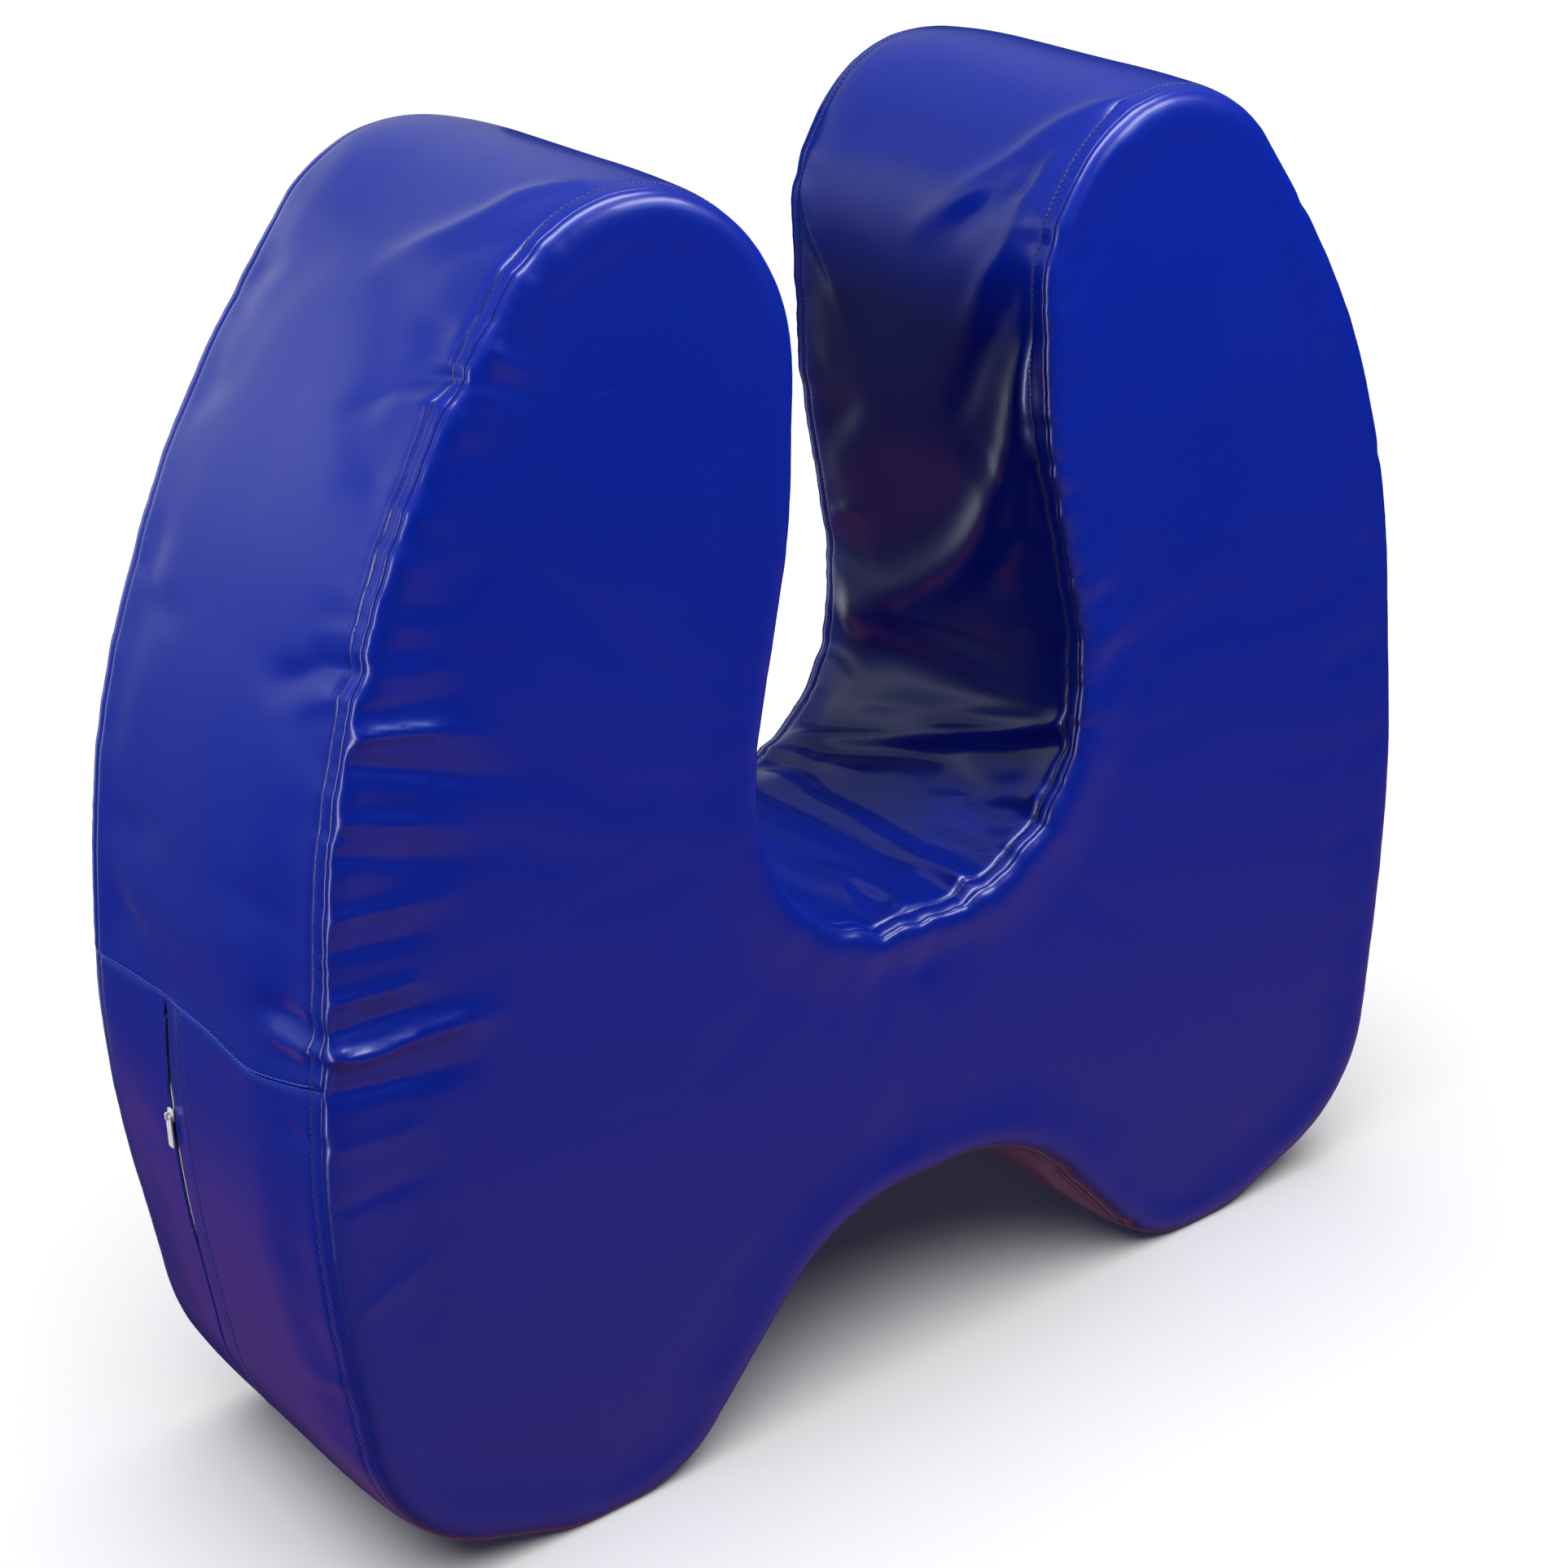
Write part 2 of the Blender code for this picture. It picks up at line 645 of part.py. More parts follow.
# ---------------------------------------------------------------- the whole seat
def build_seat():
    build_outer_slabs()
    build_middle_slab()
    build_face_panel("front_panel", -1.0)
    build_face_panel("rear_panel", 1.0)
    build_gusset()
    build_long_stitches()
    build_cross_stitch("cross_seam_stitch_right", CROSS_RIGHT + CROSS_SEAM_GAP / 2)
    build_cross_stitch("cross_seam_stitch_left", CROSS_LEFT - CROSS_SEAM_GAP / 2)
    build_zip()
    build_slider_and_pull()


for old in list(bpy.data.objects):
    bpy.data.objects.remove(old, do_unlink=True)
build_seat()
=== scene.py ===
"""Looks of an H-shaped foam seat in a glossy sewn cover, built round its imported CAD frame.

The H stands on z = 0: x runs across it, y from its front face (-y) to its rear face (+y).
Shapes are worked out in mm and written in metres. The gusset is the band between the faces.
    along   distance round the outline from the slot's floor at x = 0, right side (+x) first,
    inset   distance from a face seam, over the gusset or over the face,
    out     how far a point stands off the outline or off a face seam's plane.
A cloth simulation gives the cover its natural tension. Seams, stitches, folds and the zip are
built on top of it.
"""

import math

import bmesh
import bpy
import numpy as np
from mathutils import Matrix, Vector, kdtree
from mathutils.geometry import delaunay_2d_cdt


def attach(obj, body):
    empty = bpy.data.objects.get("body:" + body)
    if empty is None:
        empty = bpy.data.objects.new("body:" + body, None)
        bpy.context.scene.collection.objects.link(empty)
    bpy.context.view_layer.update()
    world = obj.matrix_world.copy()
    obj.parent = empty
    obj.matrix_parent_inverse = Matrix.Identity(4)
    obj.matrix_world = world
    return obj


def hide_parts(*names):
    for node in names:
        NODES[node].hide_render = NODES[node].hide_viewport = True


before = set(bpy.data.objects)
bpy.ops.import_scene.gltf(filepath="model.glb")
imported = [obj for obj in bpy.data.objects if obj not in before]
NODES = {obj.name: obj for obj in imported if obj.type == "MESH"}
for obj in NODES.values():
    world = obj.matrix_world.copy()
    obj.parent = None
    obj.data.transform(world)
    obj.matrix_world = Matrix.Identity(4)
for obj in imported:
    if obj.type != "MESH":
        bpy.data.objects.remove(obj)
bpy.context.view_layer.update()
BODY = "padded_block"
MM = 0.001

# ---------------------------------------------------------------- main sizes, in mm
# corners of the right half of the outline: name, x, z, radius of the rounding
OUTLINE = (
    ("slot_middle", 0.0, 374.0, 0.0),
    ("slot_floor", 161.0, 374.0, 138.0),
    ("slot_bulb", 148.0, 550.0, 114.0),
    ("slot_neck", 116.0, 691.0, 420.0),
    ("lobe_inner", 107.0, 857.0, 130.0),
    ("lobe_outer", 244.0, 988.0, 115.0),
    ("shoulder", 407.0, 772.0, 620.0),
    ("side_upper", 472.0, 588.0, 615.0),
    ("side_lower", 504.0, 309.0, 823.0),
    ("heel", 473.0, 53.0, 123.0),
    ("foot_outer", 326.0, 0.0, 110.0),
    ("foot_inner", 236.0, 0.0, 100.0),
    ("arch", 91.0, 165.0, 158.0),
    ("arch_middle", 0.0, 165.0, 0.0),
)
HALF_GUSSET = 147.0  # y of the face seams
CROWN_HIGH = 7.5  # the gusset's bulge
CROWN_FLAT = 60.0  # half width of the bulge's level middle
FACE_OUT = 3.4  # the flat middle of a face, past its seam
STITCH_INSET = 9.4
ZIP_Y = 47.0
LAP_Y = 24.0  # stitch row beside the zip
CROSS_GAP = 1.4  # from a cross seam to the lower gusset's end
THREAD_PITCH = 4.1
FINE_STEP = 4.0  # mesh step along the outline
GUSSET_MESH_STEP = 6.5


# ---------------------------------------------------------------- the outline, as in the CAD part
def half_path():
    """Lines and arcs of the right half, by turns, and their lengths."""
    corners = [np.array((x, z)) for _, x, z, _ in OUTLINE]
    pieces, lengths = [], []

    def add_line(first, last):
        length = np.linalg.norm(last - first)
        pieces.append((first, (last - first) / length))
        lengths.append(length)

    last = corners[0]
    for i in range(1, len(OUTLINE) - 1):
        radius = OUTLINE[i][3]
        back = corners[i - 1] - corners[i]
        ahead = corners[i + 1] - corners[i]
        back /= np.linalg.norm(back)
        ahead /= np.linalg.norm(ahead)
        half_angle = math.acos(float(np.clip(back @ ahead, -1, 1))) / 2
        cut = radius / math.tan(half_angle)
        middle = back + ahead
        middle /= np.linalg.norm(middle)
        centre = corners[i] + middle * (radius / math.sin(half_angle))
        first, second = corners[i] + back * cut, corners[i] + ahead * cut
        start = math.atan2(first[1] - centre[1], first[0] - centre[0])
        end = math.atan2(second[1] - centre[1], second[0] - centre[0])
        sweep = (end - start + math.pi) % (2 * math.pi) - math.pi
        add_line(last, first)
        pieces.append((centre, radius, start, math.copysign(1.0, sweep)))
        lengths.append(radius * abs(sweep))
        last = second
    add_line(last, corners[-1])
    return pieces, lengths


PIECES, LENGTHS = half_path()
STARTS = np.concatenate([[0.0], np.cumsum(LENGTHS)])
HALF = float(STARTS[-1])
LOOP = 2 * HALF
# the cross seams lie where the arc of corner side_lower starts; corner i has piece 2i - 1
CROSS_RIGHT = float(STARTS[2 * [row[0] for row in OUTLINE].index("side_lower") - 1])
CROSS_LEFT = LOOP - CROSS_RIGHT


def station(along):
    """Points of the outline, at y = 0, and its outward normals there."""
    along = np.mod(np.asarray(along, float), LOOP)
    mirrored = along > HALF
    reach = np.where(mirrored, LOOP - along, along)
    index = np.clip(np.searchsorted(STARTS, reach, side="right") - 1, 0, len(PIECES) - 1)
    x, z, normal_x, normal_z = np.zeros((4, *along.shape))
    for k, piece in enumerate(PIECES):
        here = index == k
        run = reach[here] - STARTS[k]
        if len(piece) == 2:
            first, way = piece
            x[here], z[here] = first[0] + way[0] * run, first[1] + way[1] * run
            normal_x[here], normal_z[here] = -way[1], way[0]
        else:
            centre, radius, start, turn = piece
            angle = start + turn * run / radius
            spoke_x, spoke_z = np.cos(angle), np.sin(angle)
            x[here], z[here] = centre[0] + spoke_x * radius, centre[1] + spoke_z * radius
            normal_x[here], normal_z[here] = -turn * spoke_x, -turn * spoke_z
    level = np.zeros(along.shape)
    place = np.stack([np.where(mirrored, -x, x), level, z], axis=-1)
    return place, np.stack([np.where(mirrored, -normal_x, normal_x), level, normal_z], axis=-1)


def stand_off(place, normal, out, y):
    """Outline points moved out along their normals and set at y."""
    points = place + normal * np.asarray(out)[..., None]
    points[..., 1] = y
    return points


def ground_share(place, normal, clear=0.0, extra=0.0):
    """1 where the crown has room, falling to 0 where the outline meets the ground."""
    room = np.maximum(-normal[..., 2] * (CROWN_HIGH + extra), 1e-6)
    share = np.clip((place[..., 2] + clear) / room, 0, 1)
    return np.where(normal[..., 2] < -0.05, share, 1.0)


# ---------------------------------------------------------------- curves shared by all shapes
def smooth(share):
    share = np.clip(share, 0.0, 1.0)
    return share * share * (3 - 2 * share)


def rise(value, start, span):
    """0 before start, 1 past start + span."""
    return smooth((value - start) / span)


def bell(value, centre, width):
    return np.exp(-(((value - centre) / width) ** 2))


def unit(vectors):
    return vectors / np.maximum(np.linalg.norm(vectors, axis=-1, keepdims=True), 1e-9)


def crown(y):
    """How far the gusset stands out between its seams."""
    share = np.clip((np.abs(y) - CROWN_FLAT) / (HALF_GUSSET - CROWN_FLAT), 0.0, 1.0)
    return CROWN_HIGH * (1 - share * share)


def loop_gap(along, centre):
    """Signed distance from centre, the short way round the loop."""
    return np.mod(along - centre + LOOP / 2, LOOP) - LOOP / 2


def loop_bell(along, centre, width):
    return bell(loop_gap(along, centre), 0, width)


def window(along, low, high, edge):
    """1 between low and high along the loop, fading over edge on each side."""
    middle, half = (low + high) / 2, (high - low) / 2
    return 1 - smooth((np.abs(loop_gap(along, middle)) - half) / edge)


def boosted(along, base, *stretches):
    """A base value, raised on stretches of the loop given as (gain, low, high, edge)."""
    return base + sum(gain * window(along, *stretch) for gain, *stretch in stretches)


def wave(along, lengths, seed):
    """A sum of sines that closes round the loop, about -1 to 1."""
    rng = np.random.default_rng(seed)
    total = np.zeros(np.shape(along))
    for length in lengths:
        for _ in range(3):
            turns = round(LOOP / (length * rng.uniform(0.8, 1.25)))
            angle = 2 * np.pi * turns * along / LOOP + rng.uniform(0, 6.283)
            total = total + np.sin(angle) * rng.uniform(0.6, 1)
    return total / math.sqrt(3 * len(lengths)) * 0.9


# ---------------------------------------------------------------- mesh helpers
def pairs(count, closed):
    return [(i, (i + 1) % count) for i in range(count if closed else count - 1)]


def lattice(rows, columns, close_rows=False, close_columns=False):
    """Four-sided faces over rows of points."""
    return [
        (i * columns + k, i * columns + m, j * columns + m, j * columns + k)
        for i, j in pairs(rows, close_rows)
        for k, m in pairs(columns, close_columns)
    ]


def flipped(faces):
    return [face[::-1] for face in faces]


def ring_faces(rings, count):
    """Faces between closed rings, turned the other way from a lattice's."""
    return [(a, d, c, b) for a, b, c, d in lattice(rings, count, close_columns=True)]


def tube_faces(rings, sides):
    """Faces of a tube with both ends closed."""
    top = (rings - 1) * sides
    ends = [tuple(reversed(range(sides))), tuple(range(top, top + sides))]
    return lattice(rings, sides, close_columns=True) + ends


def tube_points(centre, normal, radius, sides, height=1.0):
    """Rings of points round centre lines; height scales them along the normal."""
    tangent = unit(np.gradient(centre, axis=-2))
    across = unit(np.cross(tangent, normal))
    upward = np.cross(across, tangent)
    angle = (np.arange(sides) * 2 * math.pi / sides)[:, None]
    ring = across[..., None, :] * np.cos(angle) + height * upward[..., None, :] * np.sin(angle)
    radius = np.asarray(radius)[..., None, None]
    points = (centre[..., None, :] + radius * ring).reshape(-1, 3)
    points[:, 2] = np.maximum(points[:, 2], 0.1)
    return points


def flat_tree(points):
    tree = kdtree.KDTree(len(points))
    for i, (x, z) in enumerate(points):
        tree.insert((x, z, 0.0), i)
    tree.balance()
    return tree


def fill_inside(ring, step):
    """Points of a square grid inside a closed x, z ring, and faces over ring and grid."""
    low, high = ring.min(0), ring.max(0)
    grid_x = np.arange(math.floor(low[0] / step) * step, high[0] + step, step)
    grid_z = np.arange(math.floor(low[1] / step) * step, high[1] + step, step)
    grid = np.array([(x, z) for x in grid_x for z in grid_z])
    inside = np.zeros(len(grid), bool)
    for (x0, z0), (x1, z1) in zip(ring, np.roll(ring, -1, axis=0)):
        spans = (z0 > grid[:, 1]) != (z1 > grid[:, 1])
        if z1 != z0:
            inside ^= spans & (grid[:, 0] < (x1 - x0) * (grid[:, 1] - z0) / (z1 - z0) + x0)
    grid = grid[inside]
    near = flat_tree(ring)
    grid = grid[np.array([near.find((x, z, 0.0))[2] > step * 0.55 for x, z in grid])]
    corners = [Vector((float(x), float(z))) for x, z in np.vstack([ring, grid])]
    made = delaunay_2d_cdt(corners, pairs(len(ring), True), [], 1, 1e-6)
    where = [origin[0] if origin else -1 for origin in made[3]]
    if min(where) < 0:
        raise ValueError("the ring crosses itself")
    return grid, [[where[i] for i in face] for face in made[2]]


def capped(points, faces, ring_ids, step, side):
    """Points and faces with a ring filled flat, facing the front (side -1) or the rear (1)."""
    grid, caps = fill_inside(points[ring_ids][:, [0, 2]], step)
    ids = [*ring_ids, *range(len(points), len(points) + len(grid))]
    caps = [tuple(ids[i] for i in face) for face in caps]
    y = np.full(len(grid), points[ring_ids[0], 1])
    points = np.vstack([points, np.column_stack([grid[:, 0], y, grid[:, 1]])])
    return points, faces + (caps if side < 0 else flipped(caps))


def build(name, points, faces, material, node, thickness=None, sharp_angle=None):
    """Makes one soft piece: a closed solid, or a sheet thickened inwards by thickness mm."""
    mesh = bpy.data.meshes.new(name)
    mesh.from_pydata((np.reshape(points, (-1, 3)) * MM).tolist(), [], faces)
    mesh.validate()
    if thickness is None:
        work = bmesh.new()
        work.from_mesh(mesh)
        bmesh.ops.recalc_face_normals(work, faces=work.faces)
        work.to_mesh(mesh)
        work.free()
    mesh.update()
    mesh.shade_smooth()
    if sharp_angle:
        mesh.set_sharp_from_angle(angle=math.radians(sharp_angle))
    obj = bpy.data.objects.new(name, mesh)
    bpy.context.scene.collection.objects.link(obj)
    if thickness is not None:
        shell = obj.modifiers.new("thickness", "SOLIDIFY")
        shell.thickness = thickness * MM
        shell.offset = -1.0
        shell.use_even_offset = False
    mesh.materials.append(material)
    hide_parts(node)
    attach(obj, BODY)


# ---------------------------------------------------------------- cloth simulation of the cover
SIM_COUNT = int(round(LOOP / 8.0))
RING_STEP = 10.0
RING_ROWS = 6  # rows on each face, inside its seam
GUSSET_CELLS = 28
GUSSET_STEP = 2 * HALF_GUSSET / GUSSET_CELLS
SEAM_FRONT = RING_ROWS
SEAM_REAR = RING_ROWS + GUSSET_CELLS
SIM_ROWS = SEAM_REAR + RING_ROWS + 1
GRID_STEP = 12.0
SIM_ALONG = np.arange(SIM_COUNT) * LOOP / SIM_COUNT
FACE_X = np.arange(-552.0, 553.0, GRID_STEP)
FACE_Z = np.arange(-36.0, 985.0, GRID_STEP)
SIM_FRAMES = 20
CLOTH = {
    "quality": 5,
    "mass": 0.25,
    "tension_stiffness": 22,
    "compression_stiffness": 22,
    "shear_stiffness": 6,
    "bending_stiffness": 0.35,
    "tension_damping": 8,
    "compression_damping": 8,
    "shear_damping": 5,
    "bending_damping": 0.6,
    "air_damping": 2.0,
    "vertex_group_mass": "hold",
    "pin_stiffness": 0.35,
    "vertex_group_shrink": "seam",
    "shrink_min": -0.012,
    "shrink_max": 0.055,
    "use_pressure": True,
    "uniform_pressure_force": 3.0,
}
HOLD_LOOSE, HOLD_GROUND = 0.10, 1.0
GROUND_Z = 6.0
# how strongly the rows at each seam are drawn in: row, share
SEAM_PULLS = (
    (SEAM_FRONT, 1.0), (SEAM_FRONT + 1, 0.55), (SEAM_FRONT - 1, 0.35),
    (SEAM_REAR, 1.0), (SEAM_REAR - 1, 0.55), (SEAM_REAR + 1, 0.35),
)


def sim_mesh():
    """Points and faces of the whole cover, and where each face's grid lies in the points."""
    place, normal = station(SIM_ALONG)
    tall = ground_share(place, normal)
    points = np.zeros((SIM_COUNT, SIM_ROWS, 3))
    for row in range(SIM_ROWS):
        if row < SEAM_FRONT:
            out, y = -(SEAM_FRONT - row) * RING_STEP, -(HALF_GUSSET + FACE_OUT)
        elif row <= SEAM_REAR:
            y = -HALF_GUSSET + (row - SEAM_FRONT) * GUSSET_STEP
            out = crown(y) * tall
        else:
            out, y = -(row - SEAM_REAR) * RING_STEP, HALF_GUSSET + FACE_OUT
        points[:, row] = stand_off(place, normal, out, y)
    points = points.reshape(-1, 3)
    faces = flipped(lattice(SIM_COUNT, SIM_ROWS, close_rows=True))
    grids = []
    for row, side in ((0, -1), (SIM_ROWS - 1, 1)):
        start = len(points)
        ring_ids = [i * SIM_ROWS + row for i in range(SIM_COUNT)]
        points, faces = capped(points, faces, ring_ids, GRID_STEP, side)
        grids.append(range(start, len(points)))
    return points, faces, grids


def run_cloth(points, faces):
    """Moves of the points: seams drawn in, cover pressed out from inside, held to the block."""
    mesh = bpy.data.meshes.new("cover_tension")
    mesh.from_pydata((points * MM).tolist(), [], faces)
    mesh.update()
    obj = bpy.data.objects.new("cover_tension", mesh)
    scene = bpy.context.scene
    scene.collection.objects.link(obj)

    hold = obj.vertex_groups.new(name="hold")
    seam = obj.vertex_groups.new(name="seam")
    for i, z in enumerate(points[:, 2]):
        hold.add([i], HOLD_GROUND if z < GROUND_Z else HOLD_LOOSE, "REPLACE")
    pull = 0.35 + 0.30 * wave(SIM_ALONG, (90.0, 240.0), seed=3)
    pull = boosted(SIM_ALONG, pull, (0.55, 3120, 3640, 60), (0.45, -80, 560, 60))
    pull = np.clip(pull, 0.05, 1.0)
    for i in range(SIM_COUNT):
        for row, share in SEAM_PULLS:
            seam.add([i * SIM_ROWS + row], float(pull[i] * share), "REPLACE")

    cloth = obj.modifiers.new("tension", "CLOTH")
    for setting, value in CLOTH.items():
        setattr(cloth.settings, setting, value)
    cloth.settings.effector_weights.gravity = 0.0
    cloth.collision_settings.use_collision = False
    cloth.collision_settings.use_self_collision = False
    cloth.point_cache.frame_start = scene.frame_start = 1
    cloth.point_cache.frame_end = scene.frame_end = SIM_FRAMES
    for frame_number in range(1, SIM_FRAMES + 1):
        scene.frame_set(frame_number)
    evaluated = obj.evaluated_get(bpy.context.evaluated_depsgraph_get())
    moved = np.zeros(len(points) * 3, np.float32)
    evaluated.data.vertices.foreach_get("co", moved)
    bpy.data.objects.remove(obj, do_unlink=True)
    bpy.data.meshes.remove(mesh)
    scene.frame_set(1)
    return moved.reshape(-1, 3).astype(float) / MM - points


def blurred(field, turns):
    """Smooths over both directions; the first closes round the loop."""
    for _ in range(turns):
        field = (np.roll(field, 1, 0) + 2 * field + np.roll(field, -1, 0)) / 4
        side = np.concatenate([field[:, :1], field, field[:, -1:]], axis=1)
        field = (side[:, :-2] + 2 * field + side[:, 2:]) / 4
    return field


def gusset_field(moves, middle, broad_low, fine_limit):
    """Moves with broad sway and fine puckers limited, livelier on the left lobe and in the slot."""
    broad = blurred(moves, 60)
    fine = np.clip(moves - broad, -fine_limit, fine_limit)
    field = blurred(np.clip(broad - middle(broad), broad_low, 2.0) + fine, 1)
    field -= field.mean(0, keepdims=True)
    live = boosted(SIM_ALONG, 0.30, (0.45, 3120, 3700, 60), (0.55, -120, 640, 60))
    return field * live[:, None]


def face_field(points, moves, grid_ids, side):
    """How far one face moves out, on a square grid, from the nearest simulated points."""
    rows = range(RING_ROWS) if side < 0 else range(SEAM_REAR + 1, SIM_ROWS)
    ids = [*grid_ids, *(i * SIM_ROWS + row for i in range(SIM_COUNT) for row in rows)]
    tree = flat_tree(points[ids][:, [0, 2]])
    values = moves[ids, 1] * side
    got = np.array([[values[tree.find((x, z, 0.0))[1]] for z in FACE_Z] for x in FACE_X])
    broad = got
    for _ in range(40):
        pad = np.pad(broad, 1, mode="edge")
        beside = pad[:-2, 1:-1] + pad[2:, 1:-1] + pad[1:-1, :-2] + pad[1:-1, 2:]
        broad = (beside + 4 * broad) / 8
    return np.clip(broad - np.median(broad), -1.0, 2.0) + np.clip(got - broad, -2.5, 2.5)


def simulated_tension():
    points, faces, grids = sim_mesh()
    moves = run_cloth(points, faces)
    block = moves[: SIM_COUNT * SIM_ROWS].reshape(SIM_COUNT, SIM_ROWS, 3)
    outward = (block * station(SIM_ALONG)[1][:, None]).sum(-1)
    return {
        "out": gusset_field(outward, np.mean, broad_low=-1.2, fine_limit=3.5),
        "y": gusset_field(block[:, :, 1], np.median, broad_low=-1.0, fine_limit=3.0),
        -1: face_field(points, moves, grids[0], -1),
        1: face_field(points, moves, grids[1], 1),
    }


TENSION = simulated_tension()


def spline_weights(t):
    return (
        (1 - t) ** 3 / 6,
        (3 * t**3 - 6 * t**2 + 4) / 6,
        (-3 * t**3 + 3 * t**2 + 3 * t + 1) / 6,
        t**3 / 6,
    )


def sampled(field, row, column, closed):
    """Cubic spline of a grid of values, at places given in grid steps."""
    row_floor, column_floor = np.floor(row).astype(int), np.floor(column).astype(int)
    row_weights = spline_weights(row - row_floor)
    column_weights = spline_weights(column - column_floor)
    rows, columns = field.shape
    total = np.zeros(np.shape(row))
    for p in range(4):
        i = row_floor + p - 1
        i = i % rows if closed else np.clip(i, 0, rows - 1)
        for q in range(4):
            j = np.clip(column_floor + q - 1, 0, columns - 1)
            total = total + row_weights[p] * column_weights[q] * field[i, j]
    return total


def tension(along, row, which):
    return sampled(TENSION[which], np.mod(along, LOOP) * SIM_COUNT / LOOP, row, True)


def face_tension(x, z, side):
    """Share of the simulated tension that shows on a face."""
    row, column = (x - FACE_X[0]) / GRID_STEP, (z - FACE_Z[0]) / GRID_STEP
    return 0.13 * sampled(TENSION[side], row, column, False)


